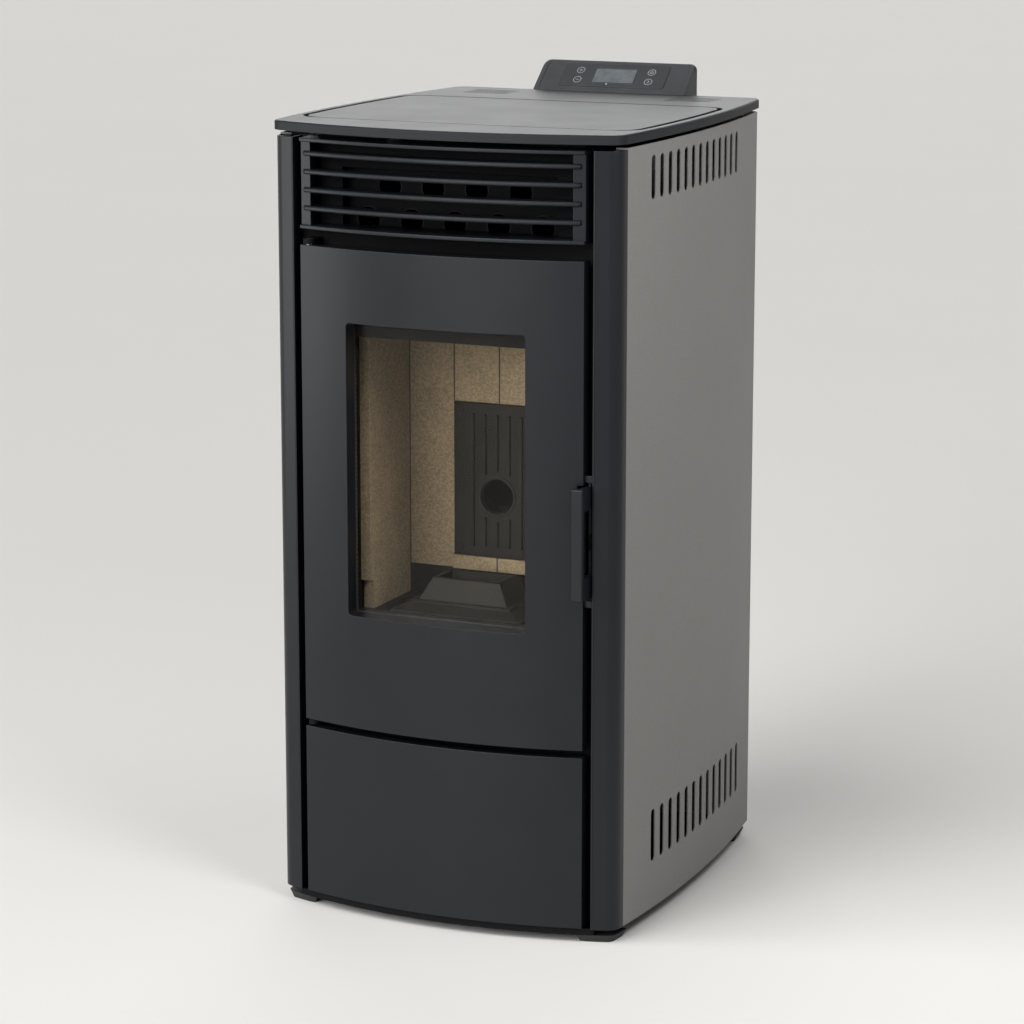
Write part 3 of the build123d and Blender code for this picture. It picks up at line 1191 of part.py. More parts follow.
# ---------------------------------------------------------------- exhaust fan and flue
def exhaust_housing():
    """Round fan case with its outlet running back to the flue."""
    half = FAN_CASE_WIDTH / 2
    wall = FAN_CASE_WALL
    centre_left = (-half, FAN_DEPTH, FAN_Z)
    centre_right = (half, FAN_DEPTH, FAN_Z)
    case_back = FAN_DEPTH + FAN_CASE_RADIUS
    case = rod(FAN_CASE_RADIUS, centre_left, centre_right)
    outlet_start = (0, FAN_DEPTH + FAN_CASE_RADIUS / 2, FLUE_Z)
    outlet_end = (0, case_back + FAN_OUTLET, FLUE_Z)
    case += rod(FLUE_RADIUS + wall, outlet_start, outlet_end)
    case -= rod(FAN_CASE_RADIUS - wall, (-half + wall, FAN_DEPTH, FAN_Z), (half - wall, FAN_DEPTH, FAN_Z))
    case -= rod(FLUE_RADIUS, outlet_start, outlet_end)
    case -= rod(SMOKE_INLET_RADIUS, centre_left, (0, FAN_DEPTH, FAN_Z))
    case -= rod(FAN_SHAFT_RADIUS + AUGER_RUNNING_CLEARANCE, (0, FAN_DEPTH, FAN_Z), centre_right)
    return case


def exhaust_impeller():
    """Backward-curved wheel on its shaft, with a disc behind the blades."""
    x1 = FAN_CASE_WIDTH / 2 - FAN_CASE_WALL - WHEEL_END_GAP
    x0 = x1 - IMPELLER_WIDTH
    disc = WHEEL_DISC
    shaft_end = FAN_CASE_WIDTH / 2 + FAN_SHAFT_RADIUS - WHEEL_SHAFT_GAP
    wheel = rod(IMPELLER_RADIUS, (x1 - disc, FAN_DEPTH, FAN_Z), (x1, FAN_DEPTH, FAN_Z))
    wheel += rod(2 * FAN_SHAFT_RADIUS, (x1 - IMPELLER_WIDTH / 2, FAN_DEPTH, FAN_Z), (x1, FAN_DEPTH, FAN_Z))
    wheel += rod(FAN_SHAFT_RADIUS, (x1, FAN_DEPTH, FAN_Z), (shaft_end, FAN_DEPTH, FAN_Z))
    place = Plane(origin=(x0, FAN_DEPTH, FAN_Z), x_dir=(0, 1, 0), z_dir=(1, 0, 0))
    inner = SMOKE_INLET_RADIUS
    outer = IMPELLER_RADIUS - IMPELLER_BLADE / 2
    middle = (inner + outer) / 2
    sweep_back = -IMPELLER_RADIUS / 3
    arc_out = ThreePointArc((inner, 0), (middle, sweep_back / 3), (outer, sweep_back))
    arc_in = ThreePointArc((outer, sweep_back - IMPELLER_BLADE), (middle, sweep_back / 3 - IMPELLER_BLADE),
                           (inner, -IMPELLER_BLADE))
    blade_face = make_face([arc_out, Line(arc_out @ 1, arc_in @ 0), arc_in, Line(arc_in @ 1, arc_out @ 0)])
    for i in range(IMPELLER_BLADES):
        turned = Rot(0, 0, 360 * i / IMPELLER_BLADES) * blade_face
        wheel += extrude(place * turned, IMPELLER_WIDTH - disc)
    return wheel


def exhaust_motor():
    """Closed motor beside the fan case with cooling fins and a shallow bore for the shaft."""
    x0 = FAN_CASE_WIDTH / 2
    pitch = FAN_MOTOR_LENGTH / (FAN_MOTOR_FINS + 1)
    motor = rod(FAN_MOTOR_RADIUS * MOTOR_CORE_SHARE, (x0, FAN_DEPTH, FAN_Z),
                (x0 + FAN_MOTOR_LENGTH, FAN_DEPTH, FAN_Z))
    for i in range(FAN_MOTOR_FINS):
        x = x0 + (i + 1) * pitch
        motor += rod(FAN_MOTOR_RADIUS, (x - pitch / 4, FAN_DEPTH, FAN_Z), (x + pitch / 4, FAN_DEPTH, FAN_Z))
    return motor - rod(FAN_SHAFT_RADIUS + AUGER_RUNNING_CLEARANCE, (x0, FAN_DEPTH, FAN_Z),
                       (x0 + FAN_SHAFT_RADIUS, FAN_DEPTH, FAN_Z))


def flue_spigot():
    """Flue stub: full size outside the rear panel, a little smaller where it passes through."""
    start = FAN_DEPTH + FAN_CASE_RADIUS + FAN_OUTLET
    stub = tube(FLUE_RADIUS, FLUE_WALL, (0, CABINET_DEPTH, FLUE_Z), (0, CABINET_DEPTH + FLUE_STUB, FLUE_Z))
    return stub + tube(FLUE_RADIUS - PIPE_SHOULDER, FLUE_WALL - PIPE_SHOULDER,
                       (0, start, FLUE_Z), (0, CABINET_DEPTH, FLUE_Z))


def air_intake_pipe():
    """Combustion air pipe from the rear panel to the air box, full size outside the panel."""
    stub = tube(INTAKE_RADIUS, INTAKE_WALL, (INTAKE_X, CABINET_DEPTH, INTAKE_Z),
                (INTAKE_X, CABINET_DEPTH + INTAKE_STUB, INTAKE_Z))
    return stub + tube(INTAKE_RADIUS - PIPE_SHOULDER, INTAKE_WALL - PIPE_SHOULDER,
                       (INTAKE_X, AIR_BOX_BACK - PAN_SHEET, INTAKE_Z), (INTAKE_X, CABINET_DEPTH, INTAKE_Z))


parts["exhaust_fan_housing"] = exhaust_housing()
parts["exhaust_impeller"] = exhaust_impeller()
parts["exhaust_motor"] = exhaust_motor()
parts["flue_spigot"] = flue_spigot()
parts["air_intake_pipe"] = air_intake_pipe()


# ---------------------------------------------------------------- hopper, auger and chute
AUGER_LOW_DEPTH = REAR_INNER - AUGER_REAR_ROOM
AUGER_LEVEL_LENGTH = AUGER_LOW_DEPTH - DROP_DEPTH
DROP_DISTANCE = AUGER_LEVEL_LENGTH / math.cos(math.radians(AUGER_TILT))
AUGER_LENGTH = DROP_DISTANCE + CHUTE_RADIUS + DROP_MARGIN
AUGER_DIRECTION = Vector(0, -math.cos(math.radians(AUGER_TILT)), math.sin(math.radians(AUGER_TILT)))
AUGER_PLANE = Plane(origin=(0, AUGER_LOW_DEPTH, AUGER_LOW_Z), x_dir=(1, 0, 0), z_dir=AUGER_DIRECTION)


def on_auger(distance):
    """Point on the auger's axis, measured from the low end of its tube."""
    return Vector(0, AUGER_LOW_DEPTH, AUGER_LOW_Z) + AUGER_DIRECTION * distance


def auger_rod(radius, start, end):
    return rod(radius, tuple(on_auger(start)), tuple(on_auger(end)))


NECK_DEPTH = on_auger(NECK_FROM_LOW_END).Y
DROP = on_auger(DROP_DISTANCE)


def hopper():
    """Sheet hopper: straight upper part, then a funnel down to a square neck on the auger tube."""
    middle = (HOPPER_FRONT + HOPPER_BACK) / 2

    def body(inset):
        width = 2 * (HOPPER_HALF_WIDTH - inset)
        depth = HOPPER_BACK - HOPPER_FRONT - 2 * inset
        neck = HOPPER_OUTLET - 2 * inset
        upper = Pos(0, middle, HOPPER_KNEE) * Rectangle(width, depth)
        lower = Pos(0, NECK_DEPTH, NECK_TOP) * Rectangle(neck, neck)
        solid = loft([lower, upper], ruled=True)
        solid += raise_face(Pos(0, middle) * Rectangle(width, depth), HOPPER_KNEE, DECK_TOP + HOPPER_COLLAR)
        solid += raise_face(Pos(0, NECK_DEPTH) * Rectangle(neck, neck),
                            on_auger(NECK_FROM_LOW_END).Z, NECK_TOP)
        return solid

    shell = body(0) - body(HOPPER_SHEET)
    return shell - auger_rod(AUGER_TUBE_RADIUS, -HOPPER_OUTLET, AUGER_LENGTH)


def hopper_guard():
    """Bars across the hopper that keep fingers off the auger."""
    z = HOPPER_KNEE + GUARD_RISE
    count = int((HOPPER_HALF_WIDTH - HOPPER_SHEET) / GUARD_PITCH)
    return Compound(children=[
        rod(GUARD_WIRE / 2, (i * GUARD_PITCH, HOPPER_FRONT + HOPPER_SHEET, z),
            (i * GUARD_PITCH, HOPPER_BACK - HOPPER_SHEET, z))
        for i in range(-count, count + 1)])


def auger_tube():
    """Sloping feed tube, closed at both ends, open on top to the hopper and below to the chute."""
    wall = AUGER_TUBE_WALL
    solid = auger_rod(AUGER_TUBE_RADIUS, 0, AUGER_LENGTH)
    solid -= auger_rod(AUGER_TUBE_RADIUS - wall, wall, AUGER_LENGTH - wall)
    solid -= auger_rod(AUGER_SHAFT_RADIUS + AUGER_RUNNING_CLEARANCE, 0, wall)
    inner = HOPPER_OUTLET - 2 * HOPPER_SHEET
    centre = on_auger(NECK_FROM_LOW_END)
    solid -= block(-inner / 2, inner / 2, NECK_DEPTH - inner / 2, NECK_DEPTH + inner / 2,
                   centre.Z, NECK_TOP)
    solid -= rod(CHUTE_RADIUS - CHUTE_WALL,
                 (0, DROP.Y, DROP.Z - 2 * AUGER_TUBE_RADIUS), (0, DROP.Y, DROP.Z))
    return solid


def auger_screw():
    """Helical flight on a round shaft."""
    start = AUGER_TUBE_WALL + AUGER_FLIGHT_THICKNESS
    end = AUGER_LENGTH - AUGER_TUBE_WALL - AUGER_FLIGHT_THICKNESS
    steps = int((end - start - AUGER_FLIGHT_THICKNESS) / AUGER_PITCH * FLIGHT_STEPS)
    inner = AUGER_SHAFT_RADIUS - FLIGHT_ROOT
    sections = []
    for i in range(steps + 1):
        place = Pos(0, 0, start + AUGER_FLIGHT_THICKNESS / 2 + i * AUGER_PITCH / FLIGHT_STEPS)
        upright = Plane(origin=((AUGER_FLIGHT_RADIUS + inner) / 2, 0, 0), x_dir=(1, 0, 0), z_dir=(0, 1, 0))
        section = upright * Rectangle(AUGER_FLIGHT_RADIUS - inner, AUGER_FLIGHT_THICKNESS)
        sections.append(place * Rot(0, 0, 360 * i / FLIGHT_STEPS) * section)
    flight = loft(sections, ruled=True)
    shaft = Pos(0, 0, -GEAR_SHAFT) * Cylinder(
        AUGER_SHAFT_RADIUS, end + GEAR_SHAFT, align=(Align.CENTER, Align.CENTER, Align.MIN))
    return AUGER_PLANE.location * (shaft + flight)


def auger_motor():
    """Gear motor flanged to the low end of the feed tube."""
    half = GEAR_BOX_SIZE / 2
    middle = Pos(0, 0, -GEAR_BOX_LENGTH / 2)
    box = AUGER_PLANE.location * (middle * Box(2 * half, 2 * half, GEAR_BOX_LENGTH))
    box += auger_rod(GEAR_MOTOR_RADIUS, -GEAR_BOX_LENGTH - GEAR_MOTOR_LENGTH, -GEAR_BOX_LENGTH)
    return box - auger_rod(AUGER_SHAFT_RADIUS + AUGER_RUNNING_CLEARANCE, -GEAR_SHAFT - BODY_GAP, 0)


def pellet_chute():
    """Square chute with a round mouth, from under the feed tube down to the firebox's back."""
    wall = CHUTE_WALL
    back = DROP.Y + CHUTE_RADIUS
    front = SHELL_BACK + SMOKE_DUCT_GAP
    fall = PELLET_HOLE_Z - CHUTE_RADIUS

    def route(inset):
        half = CHUTE_RADIUS - inset
        profile = make_face(Polyline(
            (front + inset, fall + inset), (front + inset, PELLET_HOLE_Z + half),
            (DROP.Y - half, PELLET_HOLE_Z + CHUTE_RISE + half), (DROP.Y - half, DROP.Z),
            (back - inset, DROP.Z), (back - inset, PELLET_HOLE_Z + CHUTE_RISE - half),
            (front + CHUTE_RADIUS, fall + inset), close=True))
        upright = Plane(origin=(-half, 0, 0), x_dir=(0, 1, 0), z_dir=(1, 0, 0))
        return extrude(upright * profile, 2 * half)

    mouth = (0, BACK_FACE_DEPTH, PELLET_HOLE_Z)
    seat = (0, front + wall, PELLET_HOLE_Z)
    chute = route(0) + rod(CHUTE_RADIUS, mouth, seat)
    chute -= route(wall)
    chute -= rod(CHUTE_RADIUS - wall, mouth, seat)
    return chute - auger_rod(AUGER_TUBE_RADIUS, 0, AUGER_LENGTH + CHUTE_RADIUS)


parts["hopper"] = hopper()
parts["hopper_guard"] = hopper_guard()
parts["auger_tube"] = auger_tube()
parts["auger_screw"] = auger_screw()
parts["auger_gear_motor"] = auger_motor()
parts["pellet_chute"] = pellet_chute()


# ---------------------------------------------------------------- room air blower
BLOWER_DEPTH = REAR_INNER - BLOWER_REAR_ROOM - BLOWER_CASE_RADIUS


def along_blower(radius, x0, x1):
    return rod(radius, (x0, BLOWER_DEPTH, BLOWER_Z), (x1, BLOWER_DEPTH, BLOWER_Z))


def blower_housing():
    """Half-open barrel round the rotor, with a flat outlet upwards and closed ends."""
    wall = PAN_SHEET
    x0 = -BLOWER_LENGTH / 2
    x1 = BLOWER_LENGTH / 2
    case = along_blower(BLOWER_CASE_RADIUS, x0, x1)
    case -= along_blower(BLOWER_CASE_RADIUS - wall, x0 + wall, x1 - wall)
    lip = BLOWER_DEPTH - BLOWER_CASE_RADIUS + BLOWER_MOUTH_LIP
    case -= block(x0 + wall, x1 - wall, lip, BLOWER_DEPTH + BLOWER_MOUTH_BACK,
                  BLOWER_Z, BLOWER_Z + BLOWER_CASE_RADIUS)
    case -= block(x0 + wall, x1 - wall, BLOWER_DEPTH, BLOWER_DEPTH + BLOWER_CASE_RADIUS,
                  BLOWER_Z - BLOWER_CASE_RADIUS * 0.7, BLOWER_Z)
    case -= along_blower(BLOWER_SHAFT_RADIUS + AUGER_RUNNING_CLEARANCE, x1 - wall, x1)
    return case


def blower_rotor():
    """Long drum of narrow blades between end discs."""
    x1 = BLOWER_LENGTH / 2 - PAN_SHEET - WHEEL_END_GAP
    x0 = -x1
    disc = WHEEL_DISC
    rotor = along_blower(BLOWER_ROTOR_RADIUS, x0, x0 + disc)
    rotor += along_blower(BLOWER_ROTOR_RADIUS, x1 - disc, x1)
    rotor += along_blower(BLOWER_SHAFT_RADIUS, x1, BLOWER_LENGTH / 2 + BLOWER_SHAFT_RADIUS)
    place = Plane(origin=(x0 + disc, BLOWER_DEPTH, BLOWER_Z), x_dir=(0, 1, 0), z_dir=(1, 0, 0))
    for i in range(BLOWER_BLADES):
        blade = Pos(BLOWER_ROTOR_RADIUS - BLOWER_VANE / 2, 0) * Rot(0, 0, BLOWER_VANE_TURN) * Rectangle(
            BLOWER_VANE, BLOWER_VANE_SHEET)
        turned = Rot(0, 0, 360 * i / BLOWER_BLADES) * blade
        rotor += extrude(place * turned, x1 - x0 - 2 * disc)
    return rotor


def blower_motor():
    x0 = BLOWER_LENGTH / 2
    motor = along_blower(BLOWER_MOTOR_RADIUS, x0, x0 + BLOWER_MOTOR_LENGTH)
    motor = chamfer(motor.edges().group_by(Axis.X)[-1], MOTOR_BEVEL)
    return motor - along_blower(BLOWER_SHAFT_RADIUS + AUGER_RUNNING_CLEARANCE, x0,
                                x0 + BLOWER_SHAFT_RADIUS + BODY_GAP)


parts["blower_housing"] = blower_housing()
parts["blower_rotor"] = blower_rotor()
parts["blower_motor"] = blower_motor()


# ---------------------------------------------------------------- electrics
def control_board():
    """Circuit board on four stand-offs at the rear panel, with its larger components."""
    front = REAR_INNER - BOARD_STANDOFF
    x0 = BOARD_INNER_X - BOARD_WIDTH
    z0 = BOARD_Z - BOARD_HEIGHT / 2
    board = block(x0, BOARD_INNER_X, front, front + PAN_SHEET, z0, z0 + BOARD_HEIGHT)
    for x in (x0 + BOARD_MARGIN, BOARD_INNER_X - BOARD_MARGIN):
        for z in (z0 + BOARD_MARGIN, z0 + BOARD_HEIGHT - BOARD_MARGIN):
            board += rod(STANDOFF_RADIUS, (x, front, z), (x, REAR_INNER, z))
    low = z0 + 2 * BOARD_MARGIN
    board += block(x0 + BOARD_MARGIN, x0 + BOARD_MARGIN + TRANSFORMER, front - BOARD_TALL, front,
                   low, low + TRANSFORMER)
    pitch = (BOARD_WIDTH - TRANSFORMER - 2 * BOARD_MARGIN) / RELAY_COUNT
    for i in range(RELAY_COUNT):
        x = x0 + TRANSFORMER + 2 * BOARD_MARGIN + i * pitch
        tip = front - BOARD_TALL / 2
        board += block(x, x + RELAY_SHARE * pitch, tip, front, low, low + TRANSFORMER / 2)
        board += rod(pitch / 3, (x + pitch / 3, front, BOARD_Z), (x + pitch / 3, tip, BOARD_Z))
    top = z0 + BOARD_HEIGHT - 2 * BOARD_MARGIN
    return board + block(x0 + 2 * BOARD_MARGIN, BOARD_INNER_X - 2 * BOARD_MARGIN,
                         front - BOARD_MARGIN, front, top - BOARD_MARGIN, top)


def power_inlet():
    """Appliance inlet with a switch aperture above it, clipped into the rear panel."""
    width = INLET_WIDTH
    x0 = INLET_X - width / 2
    x1 = INLET_X + width / 2
    z0 = INLET_Z - INLET_HEIGHT / 2
    z1 = INLET_Z + INLET_HEIGHT / 2
    bezel = INLET_BEZEL
    body = block(x0, x1, REAR_INNER - INLET_BODY_DEPTH, CABINET_DEPTH, z0, z1)
    body += block(x0 - bezel, x1 + bezel, CABINET_DEPTH, CABINET_DEPTH + bezel, z0 - bezel, z1 + bezel)
    middle = z0 + INLET_HEIGHT * 0.3
    mouth = Plane(origin=(INLET_X, CABINET_DEPTH + bezel, middle), x_dir=(1, 0, 0), z_dir=(0, -1, 0))
    body -= extrude(mouth * RectangleRounded(MOUTH_WIDTH, MOUTH_HEIGHT, bezel / 2), MOUTH_DEPTH)
    floor = CABINET_DEPTH + bezel - MOUTH_DEPTH
    for column in (-1, 0, 1):
        x = INLET_X + column * CONTACT_PITCH
        z = middle + CONTACT_STEP * (1 - 2 * abs(column))
        body += block(x - CONTACT_SHEET / 2, x + CONTACT_SHEET / 2, floor, CABINET_DEPTH,
                      z - CONTACT_SHEET, z + CONTACT_SHEET)
    centre = switch_centre()
    body -= block(INLET_X - SWITCH_WIDTH / 2 - SWITCH_GAP, INLET_X + SWITCH_WIDTH / 2 + SWITCH_GAP,
                  centre.Y - SWITCH_RADIUS - SWITCH_GAP, CABINET_DEPTH + bezel,
                  centre.Z - SWITCH_RADIUS - SWITCH_GAP, centre.Z + SWITCH_RADIUS + SWITCH_GAP)
    return body


def switch_centre():
    return Vector(INLET_X, CABINET_DEPTH + INLET_BEZEL - SWITCH_RADIUS / 2, INLET_Z + INLET_HEIGHT * 0.27)


def power_switch():
    """Rocker: a round-backed key whose face is two flats meeting over its pivot."""
    centre = switch_centre()
    place = Plane(origin=(INLET_X - SWITCH_WIDTH / 2, centre.Y, centre.Z), x_dir=(0, 1, 0), z_dir=(1, 0, 0))
    half = SWITCH_RADIUS - SWITCH_GAP / 2
    profile = Circle(half) & make_face(Polyline(
        (-half, -half), (half * 0.75, -half), (half * 0.45, 0), (half * 0.75, half), (-half, half),
        close=True))
    return extrude(place * profile, SWITCH_WIDTH)


parts["control_board"] = control_board()
parts["power_inlet"] = power_inlet()
parts["power_switch"] = power_switch()


# ---------------------------------------------------------------- deck, top plate and hopper lid
TOP_UNDERSIDE = TOP_PLATE_TOP - TOP_SHEET
LID_UNDERSIDE = TOP_PLATE_TOP - LID_SHEET
LID_AXIS_DEPTH = LID_BACK_DEPTH + LID_BACK_GAP + LID_RANGE_ROOM
LID_AXIS_Z = TOP_PLATE_TOP - LID_AXIS_DROP
DECK_HALF_X = REAR_HALF_X - SHEET_PLAY


def inner_deck():
    """Level plate under the top, open for the hopper, with four seats for the top plate."""
    low = DECK_TOP - DECK_SHEET
    deck = block(-DECK_HALF_X, DECK_HALF_X, BULKHEAD_DEPTH, REAR_INNER, low, DECK_TOP)
    front = SIDE_SPLIT_DEPTH + JOINT_LINE + PANEL_SHEET + SHEET_PLAY
    middle = (front + REAR_INNER) / 2
    between = Pos(0, middle) * Rectangle(2 * CLEAR_OF_SIDE, REAR_INNER - front - 2 * SHEET_PLAY)
    deck += raise_face(outline(-PANEL_SHEET - SHEET_PLAY) & between, low, DECK_TOP)
    deck -= block(-HOPPER_HALF_WIDTH, HOPPER_HALF_WIDTH, HOPPER_FRONT, HOPPER_BACK,
                  low, DECK_TOP)
    for side in (-1, 1):
        x0, x1 = sorted((side * SEAT_INNER_X, side * (SEAT_INNER_X + SEAT_LENGTH)))
        for front in (BULKHEAD_BACK, REAR_INNER - SEAT_WIDTH):
            deck += block(x0, x1, front, front + SEAT_WIDTH, DECK_TOP, TOP_UNDERSIDE)
    return deck


def lid_outline(side_gap, front_gap, back_gap):
    """Plan of the lid, or of the opening around it when the gaps are given."""
    out = TOP_OVERHANG - LID_INSET + side_gap
    apex = LID_FRONT_DEPTH - front_gap
    front = apex + LID_FRONT_BOW
    back = LID_BACK_DEPTH + back_gap
    middle = (front + back) / 2
    corners = ((side_x(front, out), front), (side_x(back, out), back))
    (fx, fy), (bx, by) = corners
    mx = side_x(middle, out)
    edges = [
        ThreePointArc((-fx, fy), (0, apex), (fx, fy)),
        ThreePointArc((fx, fy), (mx, middle), (bx, by)),
        Line((bx, by), (-bx, by)),
        ThreePointArc((-bx, by), (-mx, middle), (-fx, fy)),
    ]
    face = make_face(edges)
    ends = face.vertices().sort_by(Axis.Y)
    face = fillet(ends[0:2], LID_CORNER + front_gap)
    rear = [v for v in face.vertices() if abs(v.Y - back) < 0.01]
    return fillet(rear, LID_REAR_CORNER + side_gap)


def rear_slots():
    """Cutter for the vent slots behind the lid, one group on each side."""
    cutter = None
    last = CABINET_DEPTH + TOP_REAR_OVERHANG - REAR_SLOT_MARGIN
    for side in (-1, 1):
        for i in range(REAR_SLOT_COUNT):
            place = Pos(side * REAR_SLOT_X, last - i * REAR_SLOT_PITCH)
            one = raise_face(place * SlotOverall(REAR_SLOT_LENGTH, REAR_SLOT_WIDTH),
                             TOP_UNDERSIDE, TOP_PLATE_TOP)
            cutter = one if cutter is None else cutter + one
    return cutter


def top_plate():
    """Folded sheet top with a bevelled edge, an opening for the lid and vent slots behind it."""
    rear = CABINET_DEPTH + TOP_REAR_OVERHANG
    low = TOP_PLATE_TOP - TOP_PLATE_EDGE
    plate = raise_face(outline(TOP_OVERHANG, rear, rear_corner=TOP_REAR_CORNER), low, TOP_PLATE_TOP)
    plate = chamfer(plate.faces().sort_by(Axis.Z)[-1].edges(), TOP_CHAMFER)
    inside = outline(TOP_OVERHANG - TOP_SHEET, rear - TOP_SHEET, rear_corner=TOP_REAR_CORNER - TOP_SHEET)
    plate -= raise_face(inside, low, TOP_UNDERSIDE)
    plate -= raise_face(lid_outline(LID_SIDE_GAP, LID_FRONT_GAP, LID_BACK_GAP), low, TOP_PLATE_TOP)
    return plate - rear_slots()


def hopper_lid():
    """Flush lid with a folded rim at the front and sides and two goosenecks to its hinge."""
    lid = raise_face(lid_outline(0, 0, 0), LID_UNDERSIDE, TOP_PLATE_TOP)
    rim = raise_face(lid_outline(0, 0, 0) - lid_outline(-LID_SHEET, -LID_SHEET, -LID_SHEET),
                     LID_UNDERSIDE - LID_RIM + LID_SHEET, LID_UNDERSIDE)
    rim -= block(-CLEAR_OF_SIDE, CLEAR_OF_SIDE, LID_BACK_DEPTH - 2 * LID_REAR_CORNER, LID_BACK_DEPTH,
                 LID_UNDERSIDE - LID_RIM, LID_UNDERSIDE)
    lid += rim
    half = LID_KNUCKLE_LENGTH / 2
    neck_top = LID_AXIS_Z - LID_NECK_DROP
    neck_low = LID_AXIS_Z - LID_KNUCKLE_RADIUS
    rise_back = LID_BACK_DEPTH - LID_SHEET
    rise_front = rise_back - LID_NECK_THICKNESS
    for side in (-1, 1):
        x0 = side * LID_KNUCKLE_X - half
        x1 = side * LID_KNUCKLE_X + half
        lid += block(x0, x1, rise_front, LID_AXIS_DEPTH, neck_low, neck_top)
        lid += block(x0, x1, rise_front, rise_back, neck_low, LID_UNDERSIDE)
        lid += rod(LID_KNUCKLE_RADIUS, (x0, LID_AXIS_DEPTH, LID_AXIS_Z), (x1, LID_AXIS_DEPTH, LID_AXIS_Z))
        lid -= rod(LID_PIN_RADIUS + HINGE_CLEARANCE, (x0, LID_AXIS_DEPTH, LID_AXIS_Z),
                   (x1, LID_AXIS_DEPTH, LID_AXIS_Z))
    return lid


def lid_hinge_brackets():
    """Ears under the top plate with the pins that the lid turns on."""
    solids = []
    for side in (-1, 1):
        inner = LID_KNUCKLE_LENGTH / 2 + LID_SIDE_CLEARANCE
        centre = side * LID_KNUCKLE_X
        hinge = rod(LID_PIN_RADIUS, (centre - inner - LID_EAR, LID_AXIS_DEPTH, LID_AXIS_Z),
                    (centre + inner + LID_EAR, LID_AXIS_DEPTH, LID_AXIS_Z))
        for x0 in (centre - inner - LID_EAR, centre + inner):
            hinge += block(x0, x0 + LID_EAR, LID_AXIS_DEPTH - LID_PIN_RADIUS,
                           LID_AXIS_DEPTH + LID_EAR_LENGTH, LID_AXIS_Z - LID_EAR, TOP_UNDERSIDE)
        solids.append(hinge)
    return Compound(children=solids)


def hopper_seal():
    """Soft ring on the hopper's collar that the closed lid rests over."""
    half = HOPPER_HALF_WIDTH
    low = DECK_TOP + HOPPER_COLLAR
    high = LID_UNDERSIDE - BODY_GAP
    ring = block(-half, half, HOPPER_FRONT, HOPPER_BACK, low, high)
    inset = SEAL_THICKNESS
    return ring - block(-half + inset, half - inset, HOPPER_FRONT + inset, HOPPER_BACK - inset, low, high)


parts["inner_deck"] = inner_deck()
parts["top_plate"] = top_plate()
parts["hopper_lid"] = hopper_lid()
parts["lid_hinge_brackets"] = lid_hinge_brackets()
parts["hopper_seal"] = hopper_seal()


# ---------------------------------------------------------------- control console
CONSOLE_FRONT_DEPTH = CABINET_DEPTH + TOP_REAR_OVERHANG
CONSOLE_BACK_DEPTH = CONSOLE_FRONT_DEPTH + CONSOLE_BASE
CONSOLE_TOP = TOP_PLATE_TOP + CONSOLE_HEIGHT
CONSOLE_SLOPE = math.hypot(CONSOLE_LEAN, CONSOLE_HEIGHT)
CONSOLE_FACE = Plane(
    origin=(0, CONSOLE_FRONT_DEPTH + CONSOLE_LEAN / 2, TOP_PLATE_TOP + CONSOLE_HEIGHT / 2),
    x_dir=(1, 0, 0), z_dir=(0, -CONSOLE_HEIGHT, CONSOLE_LEAN))
FASCIA_FLOOR = CONSOLE_FACE.offset(-CONSOLE_RECESS)


def on_console(width, height, corner, rise, thickness):
    """A thin plate on the floor of the console's sloping face."""
    return extrude(FASCIA_FLOOR * (Pos(0, rise) * RectangleRounded(width, height, corner)), thickness)


def console_housing():
    """Sloping housing that hangs on the rear edge of the top, with a rim round its face."""
    y = CONSOLE_FRONT_DEPTH
    profile = make_face(Polyline(
        (y, TOP_PLATE_TOP - TOP_PLATE_EDGE), (y, TOP_PLATE_TOP), (y + CONSOLE_LEAN, CONSOLE_TOP),
        (CONSOLE_BACK_DEPTH, CONSOLE_TOP), (CONSOLE_BACK_DEPTH, TOP_PLATE_TOP - CONSOLE_DROP), close=True))
    upright = Plane(origin=(-CONSOLE_WIDTH / 2, 0, 0), x_dir=(0, 1, 0), z_dir=(1, 0, 0))
    housing = extrude(upright * profile, CONSOLE_WIDTH)
    corners = housing.faces().sort_by(Axis.Z)[-1].edges().filter_by(Axis.Y)
    housing = fillet(corners, CONSOLE_CORNER)
    width = CONSOLE_WIDTH - 2 * CONSOLE_RIM
    height = CONSOLE_SLOPE - CONSOLE_RIM
    return housing - on_console(width, height, CONSOLE_CORNER - CONSOLE_RIM / 2, 0, CONSOLE_RECESS)


def console_fascia():
    plate = on_console(FASCIA_WIDTH, FASCIA_HEIGHT, CONSOLE_CORNER / 2, FASCIA_RISE, FASCIA_THICKNESS)
    return plate - on_console(DISPLAY_WIDTH, DISPLAY_HEIGHT, DISPLAY_CORNER, FASCIA_RISE, FASCIA_THICKNESS)


def display_window():
    return on_console(DISPLAY_WIDTH, DISPLAY_HEIGHT, DISPLAY_CORNER, FASCIA_RISE, FASCIA_THICKNESS * 0.75)


parts["console_housing"] = console_housing()
parts["console_fascia"] = console_fascia()
parts["display_window"] = display_window()


# ---------------------------------------------------------------- shared origin and files
FOREMOST = -TOP_OVERHANG
REARMOST = max(CABINET_DEPTH + FLUE_STUB, CONSOLE_BACK_DEPTH)
TO_ORIGIN = Pos(0, -(FOREMOST + REARMOST) / 2, 0)

os.makedirs("parts", exist_ok=True)
for name, solid in parts.items():
    export_step(TO_ORIGIN * solid, f"parts/{name}.step")
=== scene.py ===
"""Dressed model of a free-standing pellet stove with a bowed front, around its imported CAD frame."""
import json
import math

